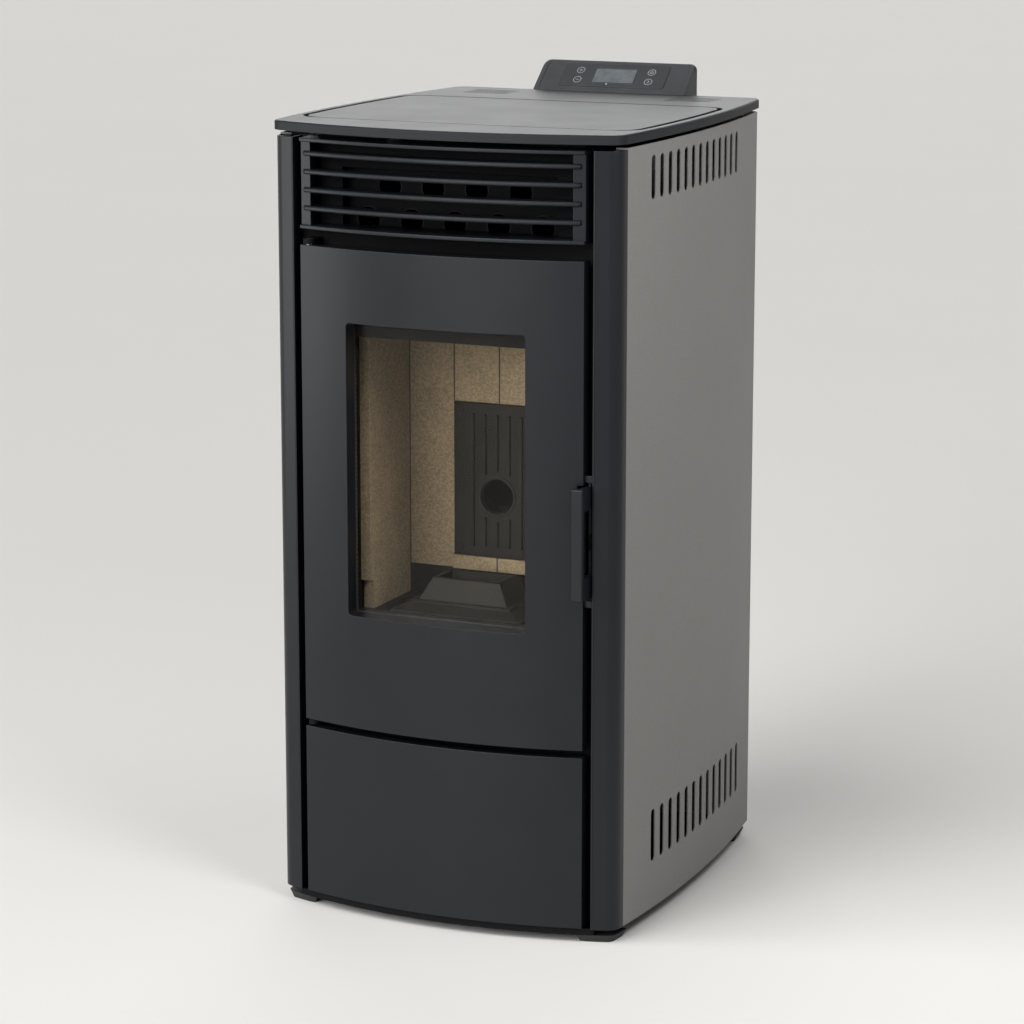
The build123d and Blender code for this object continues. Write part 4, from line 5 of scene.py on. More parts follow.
import bmesh
import bpy
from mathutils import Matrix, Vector


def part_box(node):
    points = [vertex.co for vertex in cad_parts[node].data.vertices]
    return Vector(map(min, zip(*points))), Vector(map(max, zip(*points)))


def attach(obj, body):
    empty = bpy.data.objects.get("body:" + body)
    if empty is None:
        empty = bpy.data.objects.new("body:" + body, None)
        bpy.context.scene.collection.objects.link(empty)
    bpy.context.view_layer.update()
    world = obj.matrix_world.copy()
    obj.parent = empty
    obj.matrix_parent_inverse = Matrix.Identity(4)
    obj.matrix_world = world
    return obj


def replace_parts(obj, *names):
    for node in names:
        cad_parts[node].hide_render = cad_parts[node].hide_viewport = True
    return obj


bl_info = {
    "name": "Pellet stove",
    "version": (1, 0, 0),
    "blender": (4, 5, 0),
    "location": "View3D > Sidebar > Pellet stove",
    "description": "Finishes, small fittings, floor and camera for a pellet stove",
    "category": "Object",
}

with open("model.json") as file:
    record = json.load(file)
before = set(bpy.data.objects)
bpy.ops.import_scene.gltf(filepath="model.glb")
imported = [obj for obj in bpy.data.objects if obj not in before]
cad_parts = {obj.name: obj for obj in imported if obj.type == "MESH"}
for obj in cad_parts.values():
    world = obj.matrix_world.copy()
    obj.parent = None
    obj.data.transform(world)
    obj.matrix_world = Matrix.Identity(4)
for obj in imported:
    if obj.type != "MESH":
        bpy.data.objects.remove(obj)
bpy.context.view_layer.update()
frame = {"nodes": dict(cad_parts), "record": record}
NODES = frame["nodes"]

# ------------------------------------------------------------------ fixed measures
MM = 0.001
WAVE_UNIT = 6.283  # a wave texture's scale counts bands over this many units
CREASE_ANGLE = 40  # degrees from which an edge stays sharp
ORIGIN_DEPTH = 287.5  # mm from the foremost plane of the stove to the frame's origin
BOARD_FACE_DEPTH = 195  # mm from that plane to the face of the outer back boards
WIPED = ("top_plate", "hopper_lid")  # flat tops, whose coat is dulled by wiping

# depth and height in mm of the console's sloping face, at its foot and at its head
CONSOLE_FOOT = (530, 957)
CONSOLE_HEAD = (572, 992)
# places across and up that face in mm: the touch keys with their signs, and the signal lamp
KEYS = ((-49, 37.5, "plus"), (-49, 20.5, "minus"), (49, 37.5, "on"), (49, 20.5, "go"))
SIGNAL_LAMP = (-6.8, 14)
OPEN_ARC = (125, 415)  # degrees, for the ring of the "on" sign, which is open at its top
# strokes of each sign from point to point, in half sizes of the sign
STROKES = {
    "plus": (((-1, 0), (1, 0)), ((0, -1), (0, 1))),
    "minus": (((-1, 0), (1, 0)),),
    "on": (((0, 0), (0, 1.3)),),
    "go": (((-0.5, 1), (0.5, 0)), ((0.5, 0), (-0.5, -1))),
}

# azimuth from the front and pitch downwards in degrees, lens in mm, place in metres
CAMERA_AZIMUTH = 24.088
CAMERA_PITCH = 12.004
CAMERA_LENS = 123.53
CAMERA_PLACE = (1.7248, -3.9150, 1.3654)
WORLD_LEVEL = 0.11
FLOOR_REACH = 60.0  # metres from the middle of the floor to its edges
LAMP_DISTANCE = 4  # metres; a distant lamp's place only sets its direction

# name, place, point aimed at, (width, height) in metres, watts
PANELS = (
    ("panel_left", (-1.9, -1.3, 1.0), (0.0, -0.1, 0.7), (0.8, 1.6), 13),
    ("panel_front_right", (0.95, -0.75, 1.45), (0.22, -0.1, 0.75), (0.6, 0.6), 11),
)

# name, azimuth from the front towards the right, height and spread in degrees, strength
DISTANT = (
    ("wide_front", -15, 15, 40, 2.1),
    ("wide_left_high", -35, 50, 50, 1.7),
    ("wide_right_high", 100, 50, 50, 0.38),
    ("wide_rear", 204, 14, 50, 1.65),
)


# ------------------------------------------------------------------ sizes and colours
class StoveSizes(bpy.types.PropertyGroup):
    """Sizes of the small fittings"""
    edge_round: bpy.props.FloatProperty(
        name="Edge rounding", description="Radius that folded and cast edges catch the light with",
        default=1.2 * MM, subtype="DISTANCE", unit="LENGTH")
    screw_head: bpy.props.FloatProperty(
        name="Screw head", description="Diameter of the rear panel's screw heads",
        default=8.0 * MM, subtype="DISTANCE", unit="LENGTH")
    plate_screw_head: bpy.props.FloatProperty(
        name="Plate screw head", description="Diameter of the screws in the cast back plate",
        default=8.0 * MM, subtype="DISTANCE", unit="LENGTH")
    key_ring: bpy.props.FloatProperty(
        name="Key ring", description="Diameter of the printed ring round each touch key",
        default=11.0 * MM, subtype="DISTANCE", unit="LENGTH")
    rope_lay: bpy.props.FloatProperty(
        name="Rope lay", description="Length in which a strand of a seal goes once round",
        default=34.0 * MM, subtype="DISTANCE", unit="LENGTH")
    seam_width: bpy.props.FloatProperty(
        name="Seam width", description="Width of the dark seams between the firebox boards",
        default=1.8 * MM, subtype="DISTANCE", unit="LENGTH")


class StoveColours(bpy.types.PropertyGroup):
    """Colours of the finishes, as sRGB hex codes"""
    powder: bpy.props.StringProperty(
        name="Powder coat", description="Columns, door, grille, drawer and top", default="#101217")
    grey: bpy.props.StringProperty(
        name="Metallic paint", description="Side panels", default="#7B7977")
    heat_black: bpy.props.StringProperty(
        name="Heat-proof paint", description="Firebox, bulkhead and frames", default="#0C0C0D")
    iron: bpy.props.StringProperty(
        name="Cast iron", description="Burn pot, its plinth and the back plate", default="#0F0E0D")
    board: bpy.props.StringProperty(
        name="Vermiculite", description="Firebox boards", default="#8D806C")
    floor: bpy.props.StringProperty(
        name="Floor", description="Floor and backdrop", default="#DAD9D6")


def sizes():
    """The sizes as set in the scene."""
    return bpy.context.scene.stove_sizes


def colours():
    """The colours as set in the scene."""
    return bpy.context.scene.stove_colours


def linear(code):
    """sRGB hex code to a linear, solid colour."""
    values = [int(code[i:i + 2], 16) / 255 for i in (1, 3, 5)]
    return tuple(v / 12.92 if v <= 0.04045 else ((v + 0.055) / 1.055) ** 2.4 for v in values) + (1.0,)


# ------------------------------------------------------------------ materials
def node(tree, kind, settings=None, **links):
    """Adds one shader node. Settings name attributes or inputs; links name inputs and give an output."""
    made = tree.nodes.new(kind)
    for key, value in (settings or {}).items():
        if hasattr(made, key) and key not in made.inputs:
            setattr(made, key, value)
        else:
            made.inputs[key].default_value = value
    for key, output in links.items():
        index = int(key[1:]) if key[0] == "i" and key[1:].isdigit() else key.replace("_", " ")
        tree.links.new(output, made.inputs[index])
    return made


def blank(name):
    """A new material with a Principled shader; returns the material, its tree and the shader."""
    material = bpy.data.materials.new(name)
    material.use_nodes = True
    tree = material.node_tree
    return material, tree, tree.nodes["Principled BSDF"]


def place(tree):
    """The piece's own coordinates in metres, so that a pattern keeps its real size and moves with it."""
    return node(tree, "ShaderNodeTexCoord").outputs["Object"]


def grain(tree, size_mm, detail, roughness=0.5, stretch=(1, 1, 1)):
    """Noise whose lumps are about size_mm across."""
    mapped = node(tree, "ShaderNodeMapping", {"Scale": stretch}, Vector=place(tree))
    return node(tree, "ShaderNodeTexNoise",
                {"Scale": 1 / (size_mm * MM), "Detail": detail, "Roughness": roughness},
                Vector=mapped.outputs["Vector"]).outputs["Fac"]


def shades(tree, factor, dark, light, low=0.3, high=0.7):
    """Colour between two hex codes by a factor."""
    made = node(tree, "ShaderNodeValToRGB", i0=factor)
    ramp = made.color_ramp
    ramp.elements[0].position = low
    ramp.elements[1].position = high
    ramp.elements[0].color = linear(dark)
    ramp.elements[1].color = linear(light)
    return made.outputs["Color"]


def levels(tree, factor, low, high):
    """Maps 0 to 1 onto a range of values."""
    made = node(tree, "ShaderNodeMapRange", {"To Min": low, "To Max": high}, Value=factor)
    return made.outputs["Result"]


def relief(tree, height, depth_mm, strength, soft_edges=True):
    """Surface normal with a bump of about depth_mm, over rounded edges."""
    made = node(tree, "ShaderNodeBump", {"Strength": strength, "Distance": depth_mm * MM}, Height=height)
    if soft_edges:
        edges = node(tree, "ShaderNodeBevel", {"samples": 4, "Radius": sizes().edge_round})
        tree.links.new(edges.outputs["Normal"], made.inputs["Normal"])
    return made.outputs["Normal"]


def shift(code, amount):
    """The same hex colour, lighter or darker by a share."""
    values = [min(255, max(0, round(int(code[i:i + 2], 16) * (1 + amount)))) for i in (1, 3, 5)]
    return "#%02X%02X%02X" % tuple(values)


def powder_coat(name="powder_coat_anthracite", low=0.31, high=0.37):
    """Baked polyester powder coat: satin between two roughnesses, with a fine orange-peel grain."""
    material, tree, shader = blank(name)
    code = colours().powder
    cloud = grain(tree, 60, 3)
    # the grain is about 0.5 mm on the real sheet; drawn at 1.3 mm so that it shows
    peel = grain(tree, 1.3, 2)
    tree.links.new(shades(tree, cloud, shift(code, -0.05), shift(code, 0.05)), shader.inputs["Base Color"])
    tree.links.new(levels(tree, cloud, low, high), shader.inputs["Roughness"])
    shader.inputs["IOR"].default_value = 1.5
    shader.inputs["Specular IOR Level"].default_value = 0.33
    tree.links.new(relief(tree, peel, 0.05, 0.35), shader.inputs["Normal"])
    return material


def metallic_paint():
    """Grey metallic lacquer on steel sheet: a satin sheen with fine flakes."""
    material, tree, shader = blank("metallic_paint_grey")
    code = colours().grey
    # the flakes are under 0.1 mm; drawn at 1.1 mm so that they show
    flakes = grain(tree, 1.1, 3, 0.7)
    cloud = grain(tree, 120, 2)
    tree.links.new(shades(tree, flakes, shift(code, -0.09), shift(code, 0.09)), shader.inputs["Base Color"])
    tree.links.new(levels(tree, cloud, 0.42, 0.48), shader.inputs["Roughness"])
    shader.inputs["Metallic"].default_value = 0.15
    shader.inputs["Specular IOR Level"].default_value = 0.28
    tree.links.new(relief(tree, flakes, 0.03, 0.3), shader.inputs["Normal"])
    return material


def heat_paint():
    """Silicone heat-proof paint on welded sheet: matt and slightly dusty."""
    material, tree, shader = blank("heat_paint_black")
    code = colours().heat_black
    dust = grain(tree, 9, 5, 0.6)
    # the paint's own grain is about 0.2 mm; drawn at 0.9 mm so that it shows
    fine = grain(tree, 0.9, 2)
    tree.links.new(shades(tree, dust, code, shift(code, 0.35)), shader.inputs["Base Color"])
    tree.links.new(levels(tree, dust, 0.66, 0.82), shader.inputs["Roughness"])
    shader.inputs["Specular IOR Level"].default_value = 0.12
    tree.links.new(relief(tree, fine, 0.08, 0.4), shader.inputs["Normal"])
    return material


def cast_iron():
    """Grey iron from a sand mould, painted and sooted: dull, with sand grain and soft edges."""
    material, tree, shader = blank("cast_iron_grey")
    code = colours().iron
    # the sand is about 0.3 mm; drawn at 1.2 mm so that it shows
    tint = grain(tree, 14, 5, 0.6)
    sand = grain(tree, 1.2, 4, 0.65)
    tree.links.new(shades(tree, tint, shift(code, -0.12), shift(code, 0.14)), shader.inputs["Base Color"])
    tree.links.new(levels(tree, sand, 0.53, 0.67), shader.inputs["Roughness"])
    shader.inputs["Specular IOR Level"].default_value = 0.26
    tree.links.new(relief(tree, sand, 0.15, 0.4), shader.inputs["Normal"])
    return material


def vermiculite():
    """Pressed vermiculite board: matt and pale brown, with visible flakes and fine pits."""
    material, tree, shader = blank("vermiculite_board")
    code = colours().board
    # flakes of about 2 mm, as pressed into the board
    flake = node(tree, "ShaderNodeTexVoronoi", {"Scale": 1 / (1.9 * MM), "Randomness": 1.0},
                 Vector=place(tree)).outputs["Color"]
    stain = grain(tree, 45, 4, 0.6)
    base = shades(tree, stain, shift(code, -0.10), shift(code, 0.05))
    specks = shades(tree, node(tree, "ShaderNodeSeparateColor", Color=flake).outputs[0],
                    shift(code, -0.27), shift(code, 0.22), 0.05, 0.95)
    # sockets 6, 7 and output 2 are the mix node's colours
    mixed = node(tree, "ShaderNodeMix", {"data_type": "RGBA", "Factor": 0.42}, i6=base, i7=specks)
    tree.links.new(mixed.outputs[2], shader.inputs["Base Color"])
    shader.inputs["Roughness"].default_value = 0.92
    shader.inputs["Specular IOR Level"].default_value = 0.25
    tree.links.new(relief(tree, grain(tree, 1.6, 4, 0.7), 0.35, 0.65), shader.inputs["Normal"])
    return material


def ceramic_glass():
    """Drawn glass-ceramic pane: clear with a faint warm grey, polished, coated against reflections."""
    material, tree, shader = blank("ceramic_glass")
    shader.inputs["Base Color"].default_value = linear("#F4F1EA")
    shader.inputs["Roughness"].default_value = 0.0
    shader.inputs["IOR"].default_value = 1.5
    shader.inputs["Transmission Weight"].default_value = 1.0
    # the coating leaves about a quarter of what a bare pane reflects
    shader.inputs["Specular Tint"].default_value = (0.25, 0.25, 0.25, 1)
    clear = node(tree, "ShaderNodeBsdfTransparent", {"Color": linear("#F4F1EA")})
    ray = node(tree, "ShaderNodeLightPath")
    # light passes straight through the pane, so the firebox is lit as it is without it
    both = node(tree, "ShaderNodeMixShader", i0=ray.outputs["Is Shadow Ray"],
                i1=shader.outputs["BSDF"], i2=clear.outputs["BSDF"])
    tree.links.new(both.outputs["Shader"], tree.nodes["Material Output"].inputs["Surface"])
    return material


def glass_fibre():
    """Braided glass fibre, dyed black: dull, with a thread every millimetre or so."""
    material, tree, shader = blank("glass_fibre_braid")
    threads = node(tree, "ShaderNodeTexWave",
                   {"Scale": 1 / (1.4 * MM) / WAVE_UNIT, "Distortion": 2.0, "Detail": 2.0,
                    "bands_direction": "DIAGONAL"}, Vector=place(tree)).outputs["Fac"]
    tree.links.new(shades(tree, threads, "#161616", "#3A3937", 0.2, 0.9), shader.inputs["Base Color"])
    shader.inputs["Roughness"].default_value = 0.95
    shader.inputs["Sheen Weight"].default_value = 0.2
    tree.links.new(relief(tree, threads, 0.3, 0.7, False), shader.inputs["Normal"])
    return material


def zinc_sheet():
    """Hot-dip zinc on steel sheet: bright, with soft crystals about a centimetre wide."""
    material, tree, shader = blank("zinc_coated_sheet")
    crystals = node(tree, "ShaderNodeTexVoronoi", {"Scale": 1 / (11 * MM)},
                    Vector=place(tree)).outputs["Color"]
    tone = node(tree, "ShaderNodeSeparateColor", Color=crystals).outputs[0]
    tree.links.new(shades(tree, tone, "#A7AAAC", "#BEC1C2", 0.0, 1.0), shader.inputs["Base Color"])
    shader.inputs["Metallic"].default_value = 1.0
    tree.links.new(levels(tree, tone, 0.32, 0.46), shader.inputs["Roughness"])
    tree.links.new(relief(tree, grain(tree, 2.5, 3), 0.03, 0.3), shader.inputs["Normal"])
    return material


def bare_metal(name, light, dark, roughness, lump_mm, stretch):
    """Bare metal with the marks of how it was made, long or round by their stretch."""
    material, tree, shader = blank(name)
    # marks of drawing and casting are a few tenths of a millimetre; drawn wider so that they show
    marks = grain(tree, lump_mm, 3, 0.6, stretch)
    tree.links.new(shades(tree, marks, dark, light), shader.inputs["Base Color"])
    shader.inputs["Metallic"].default_value = 1.0
    tree.links.new(levels(tree, marks, roughness - 0.06, roughness + 0.08), shader.inputs["Roughness"])
    tree.links.new(relief(tree, marks, 0.05, 0.3), shader.inputs["Normal"])
    return material


def moulded_plastic(name, dark, light, roughness, grain_mm=0.9):
    """Even plastic, rubber, film or enamel with a fine grain, as a spark-eroded mould leaves it."""
    material, tree, shader = blank(name)
    # a mould's grain is about 0.2 mm; drawn at 0.9 mm and more so that it shows
    grains = grain(tree, grain_mm, 2)
    tree.links.new(shades(tree, grain(tree, 30, 2), dark, light), shader.inputs["Base Color"])
    shader.inputs["Roughness"].default_value = roughness
    shader.inputs["IOR"].default_value = 1.53
    tree.links.new(relief(tree, grains, 0.04, 0.35), shader.inputs["Normal"])
    return material


def solder_resist():
    """Green solder resist over copper tracks, with the tracks showing as a paler weave."""
    material, tree, shader = blank("solder_resist")
    # tracks lie about 1 mm apart on a real board; drawn 9 mm apart so that they show
    tracks = node(tree, "ShaderNodeTexBrick",
                  {"Scale": 1 / (9 * MM), "Mortar Size": 0.06, "Color1": linear("#1C5A33"),
                   "Color2": linear("#1F6338"), "Mortar": linear("#4E8A58")},
                  Vector=node(tree, "ShaderNodeMapping", {"Rotation": (math.pi / 2, 0, 0)},
                              Vector=place(tree)).outputs["Vector"])
    tree.links.new(tracks.outputs["Color"], shader.inputs["Base Color"])
    shader.inputs["Roughness"].default_value = 0.35
    return material


def display_pane():
    """Grey liquid crystal behind a clear pane: flat and smooth, with a clear coat."""
    material, tree, shader = blank("display_pane")
    fine = grain(tree, 12, 2)
    tree.links.new(shades(tree, fine, "#53585B", "#606468"), shader.inputs["Base Color"])
    shader.inputs["Roughness"].default_value = 0.22
    shader.inputs["Coat Weight"].default_value = 0.4
    return material


def ink_or_painted_shade(name, code):
    """Printed ink, or painted shade in the seams of the firebox boards: matt, a touch uneven."""
    material, tree, shader = blank(name)
    tree.links.new(shades(tree, grain(tree, 4, 2), shift(code, -0.06), code), shader.inputs["Base Color"])
    shader.inputs["Roughness"].default_value = 0.6
    return material


def finishes():
    """One material for each of the record's slots."""
    return {
        "anthracite_powder_coat": powder_coat(),
        "grey_metallic_paint": metallic_paint(),
        "black_heat_paint": heat_paint(),
        "cast_iron": cast_iron(),
        "vermiculite_board": vermiculite(),
        "ceramic_glass": ceramic_glass(),
        "glass_fibre_black": glass_fibre(),
        "zinc_coated_steel": zinc_sheet(),
        "bright_steel": bare_metal("drawn_steel", "#C6C7C8", "#A5A6A8", 0.3, 1.5, (1, 1, 0.1)),
        "blackened_steel": bare_metal("heat_darkened_steel", "#2A2724", "#171513", 0.5, 12, (1, 0.4, 1)),
        "cast_aluminium": bare_metal("die_cast_aluminium", "#B4B6B8", "#9C9EA0", 0.48, 1.4, (1, 1, 1)),
        "black_motor_paint": moulded_plastic("baked_enamel_black", "#17181A", "#202224", 0.35, 2.0),
        "circuit_board": solder_resist(),
        "black_plastic": moulded_plastic("moulded_black_plastic", "#161617", "#1E1E1F", 0.5),
        "console_plastic": moulded_plastic("moulded_grey_plastic", "#292B2E", "#303235", 0.5),
        "fascia_film": moulded_plastic("film_overlay", "#282A2D", "#2D2F32", 0.42, 1.5),
        "display_glass": display_pane(),
        "rubber_feet": moulded_plastic("moulded_rubber", "#191919", "#242424", 0.7, 1.4),
    }


MATERIALS = {}


def dress(obj, material):
    """Puts one material on the whole of a piece."""
    obj.data.materials.clear()
    obj.data.materials.append(material)


def mesh_piece(name, build, slot, body, material=None):
    """A new piece from a bmesh function, in its finish and riding on its body."""
    data = bpy.data.meshes.new(name)
    form = bmesh.new()
    build(form)
    form.to_mesh(data)
    form.free()
    obj = bpy.data.objects.new(name, data)
    bpy.context.scene.collection.objects.link(obj)
    dress(obj, material or MATERIALS[slot])
    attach(obj, body)
    return obj


def smooth(obj):
    """Smooth shading with creases at sharp edges."""
    for polygon in obj.data.polygons:
        polygon.use_smooth = True
    obj.data.set_sharp_from_angle(angle=math.radians(CREASE_ANGLE))
    return obj


def at(x, depth, z):
    """Point from millimetres: across, depth behind the front, height over the floor."""
    return Vector((x, depth - ORIGIN_DEPTH, z)) * MM


def skin(form, rows, round_along=True, round_across=True):
    """Faces between neighbouring rows of points; each way can close on itself."""
    for low, high in zip(rows, rows[1:] + (rows[:1] if round_along else [])):
        for k in range(len(low) if round_across else len(low) - 1):
            m = (k + 1) % len(low)
            form.faces.new((low[k], low[m], high[m], high[k]))


def ring_path(middle, across, up, half_a, half_b, corner, step):
    """Points and outward directions along a rounded rectangle, about one step apart."""
    corner_parts = 6
    line = []
    for turn, (a, b) in enumerate(((1, 1), (-1, 1), (-1, -1), (1, -1))):
        centre = middle + across * a * (half_a - corner) + up * b * (half_b - corner)
        for i in range(corner_parts + 1):
            angle = math.pi / 2 * (turn + i / corner_parts)
            out = across * math.cos(angle) + up * math.sin(angle)
            line.append((centre + out * corner, out))
    path = []
    for (p, out), (q, then) in zip(line, line[1:] + line[:1]):
        count = max(1, round((q - p).length / step))
        path += [(p.lerp(q, i / count), out.lerp(then, i / count).normalized()) for i in range(count)]
    return path


def twist(form, path, normal, half_out, half_normal, lay):
    """Strands that wind round a closed path and fill a section of the given half sizes."""
    strands = 3
    sides = 6
    thick = 0.5  # a strand's share of the section's half size
    lengths = [0.0]
    for (p, _), (q, _) in zip(path, path[1:] + path[:1]):
        lengths.append(lengths[-1] + (q - p).length)
    turns = round(lengths[-1] / lay)
    for strand in range(strands):
        rows = []
        for (p, out), along in zip(path, lengths):
            phase = 2 * math.pi * (turns * along / lengths[-1] + strand / strands)
            centre = p + (out * half_out * math.cos(phase) + normal * half_normal * math.sin(phase)) * thick
            rows.append([form.verts.new(
                centre + (out * half_out * math.cos(a) + normal * half_normal * math.sin(a)) * thick)
                for a in (2 * math.pi * k / sides for k in range(sides))])
        skin(form, rows)


def tape(form, path, normal, half_out, half_normal):
    """Flat woven strip along a closed path: rows of threads that rise and fall in turn."""
    ribs = 5
    sunk = 0.72  # how high a thread that passes under stands, as a share
    rows = []
    for i, (p, out) in enumerate(path):
        row = []
        for face in (1, -1):
            for k in range(ribs + 1):
                across = face * (2 * k / ribs - 1) * half_out
                lift = half_normal * (1 if (i + k) % 2 else sunk)
                row.append(form.verts.new(p + out * across + normal * face * lift))
        rows.append(row)
    skin(form, rows)


def slab(form, low, high):
    """Box between two corners."""
    made = bmesh.ops.create_cube(form, size=1.0)["verts"]
    bmesh.ops.scale(form, vec=high - low, verts=made)
    bmesh.ops.translate(form, vec=(low + high) / 2, verts=made)


def lathe(form, profile, centre, axis, steps=24):
    """Turns (radius, along) pairs round an axis into a skin; a last radius of 0 closes its tip."""
    turn = Vector((0, 0, 1)).rotation_difference(Vector(axis)).to_matrix()
    rings = []
    for radius, along in profile:
        if radius == 0:
            rings.append([form.verts.new(Vector(centre) + turn @ Vector((0, 0, along)))])
            continue
        ring = []
        for i in range(steps):
            a = 2 * math.pi * i / steps
            ring.append(form.verts.new(
                Vector(centre) + turn @ Vector((radius * math.cos(a), radius * math.sin(a), along))))
        rings.append(ring)
    for low, high in zip(rings[:-1], rings[1:]):
        for i in range(steps):
            j = (i + 1) % steps
            if len(high) == 1:
                form.faces.new((low[i], high[0], low[j]))
            else:
                form.faces.new((low[i], high[i], high[j], low[j]))


def screw_profile(radius):
    """Pan head with a rounded rim, from its seat outwards."""
    return [(radius, 0), (radius, 0.25 * radius), (0.9 * radius, 0.42 * radius),
            (0.6 * radius, 0.52 * radius), (0.22 * radius, 0.55 * radius),
            (0.18 * radius, 0.3 * radius), (0, 0.3 * radius)]


def plate_screw_profile(radius):
    """Low head with a round recess, from its seat outwards."""
    return [(radius, 0), (radius, 0.5 * MM), (0.8 * radius, 0.9 * MM),
            (0.4 * radius, 0.9 * MM), (0.4 * radius, 0.2 * MM), (0, 0.2 * MM)]


def ring_face(form, centre, across, up, radius, width, start=0.0, end=360.0):
    """A flat printed ring, or a part of one, on a plane given by two unit vectors."""
    steps = 28
    rows = []
    for i in range(steps + 1):
        angle = math.radians(start + (end - start) * i / steps)
        out = across * math.cos(angle) + up * math.sin(angle)
        rows.append([form.verts.new(centre + out * r) for r in (radius - width, radius)])
    skin(form, rows, False, False)


def bar_face(form, centre, across, up, start, end, width):
    """A flat printed stroke between two points of the same plane."""
    a = Vector(start)
    b = Vector(end)
    side = (b - a).orthogonal().normalized() * width / 2
    corners = [a - side, b - side, b + side, a + side]
    form.faces.new([form.verts.new(centre + across * c.x + up * c.y) for c in corners])


# ------------------------------------------------------------------ operators
class STOVE_OT_finishes(bpy.types.Operator):
    """Give every part of the frame the finish that its record slot names"""
    bl_idname = "stove.finishes"
    bl_label = "Finishes"

    def execute(self, context):
        MATERIALS.update(finishes())
        slots = {row["node"]: row["material_slot"] for row in frame["record"]["subparts"]}
        dulled = powder_coat("powder_coat_dulled", 0.49, 0.56)
        for name, obj in NODES.items():
            dress(obj, dulled if name in WIPED else MATERIALS[slots[name]])
        return {"FINISHED"}


class STOVE_OT_rear_screws(bpy.types.Operator):
    """Pan-head screws that hold the rear panel"""
    bl_idname = "stove.rear_screws"
    bl_label = "Rear screws"

    def execute(self, context):
        low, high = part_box("rear_panel")
        radius = sizes().screw_head / 2
        inset = 9 * MM
        end_gap = 14 * MM
        count = 6
        pitch = (high.z - low.z - 2 * end_gap) / (count - 1)

        def build(form):
            for x in (low.x + inset, high.x - inset):
                for i in range(count):
                    z = low.z + end_gap + i * pitch
                    lathe(form, screw_profile(radius), (x, high.y, z), (0, 1, 0))

        smooth(mesh_piece("rear_panel_screws", build, "bright_steel", "cabinet"))
        return {"FINISHED"}


class STOVE_OT_plate_screws(bpy.types.Operator):
    """Low-headed screws in the corners of the cast back plate"""
    bl_idname = "stove.plate_screws"
    bl_label = "Back plate screws"

    def execute(self, context):
        low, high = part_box("cast_back_plate")
        ribs = 1.6 * MM
        face = low.y + ribs
        radius = sizes().plate_screw_head / 2
        inset = 10 * MM

        def build(form):
            for x in (low.x + inset, high.x - inset):
                for z in (low.z + inset, high.z - inset):
                    lathe(form, plate_screw_profile(radius), (x, face, z), (0, -1, 0))

        smooth(mesh_piece("back_plate_screws", build, "cast_iron", "cabinet"))
        return {"FINISHED"}


class STOVE_OT_seals(bpy.types.Operator):
    """Braided rope round the door and the hopper's mouth, and woven tapes on both sides of the pane"""
    bl_idname = "stove.seals"
    bl_label = "Seals"

    def execute(self, context):
        across = Vector((1, 0, 0))
        back = Vector((0, 1, 0))
        up = Vector((0, 0, 1))
        lay = sizes().rope_lay
        step = 3 * MM  # between the points of a path

        low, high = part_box("door_rope_seal")
        half = (high - low) / 2
        width = 5.5 * MM  # half of the rope's
        corner = 11 * MM
        path = ring_path((low + high) / 2, across, up, half.x - width, half.z - width, corner, step)
        rope = mesh_piece("door_rope_braid", lambda form: twist(form, path, back, width, half.y, lay),
                          "glass_fibre_black", "fire_door")
        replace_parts(smooth(rope), "door_rope_seal")

        low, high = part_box("hopper_seal")
        half = (high - low) / 2
        width = 3 * MM
        corner = 5 * MM
        path = ring_path((low + high) / 2, across, back, half.x - width, half.y - width, corner, step)
        rope = mesh_piece("hopper_seal_braid", lambda form: twist(form, path, up, width, half.z, 0.7 * lay),
                          "glass_fibre_black", "cabinet")
        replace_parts(smooth(rope), "hopper_seal")

        low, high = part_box("glass_tapes")
        half = (high - low) / 2
        thin = 0.6 * MM  # half of a tape's thickness and width
        wide = 5 * MM
        bend = 10 * MM

        def weave(form):
            for depth in (low.y + thin, high.y - thin):
                middle = Vector((0, depth, (low.z + high.z) / 2))
                line = ring_path(middle, across, up, half.x - wide, half.z - wide, bend, step)
                tape(form, line, back, wide, thin)

        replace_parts(mesh_piece("woven_glass_tapes", weave, "glass_fibre_black", "fire_door"), "glass_tapes")
        return {"FINISHED"}


class STOVE_OT_board_seams(bpy.types.Operator):
    """Painted shade: dark strips in the seams of the firebox boards and at their outer edges, where shade
    falls
    """
    bl_idname = "stove.board_seams"
    bl_label = "Board seams"

    def execute(self, context):
        low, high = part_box("back_liner_boards")
        face = at(0, BOARD_FACE_DEPTH, 0).y
        half = sizes().seam_width / 2
        proud = 0.3 * MM  # of the painted shade strips before the boards
        iron_low, iron_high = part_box("cast_back_plate")
        quarter = (high.x - low.x) / 4

        def build(form):
            for x in (-quarter, 0, quarter):
                slab(form, Vector((x - half, face - proud, iron_high.z)), Vector((x + half, face, high.z)))
            for x, front in ((-quarter - half, face), (0, low.y), (quarter + half, face)):
                slab(form, Vector((x - half, front - proud, low.z)), Vector((x + half, front, iron_low.z)))
            for x in (low.x, high.x):
                slab(form, Vector((x - half, face - proud, low.z)), Vector((x + half, face, high.z)))

        # painted shade: the dark colour stands in for the shade in the seams and corners between the boards
        mesh_piece("board_seams", build, "black_heat_paint", "cabinet", ink_or_painted_shade("painted_seam_shade", "#2A241D"))
        return {"FINISHED"}


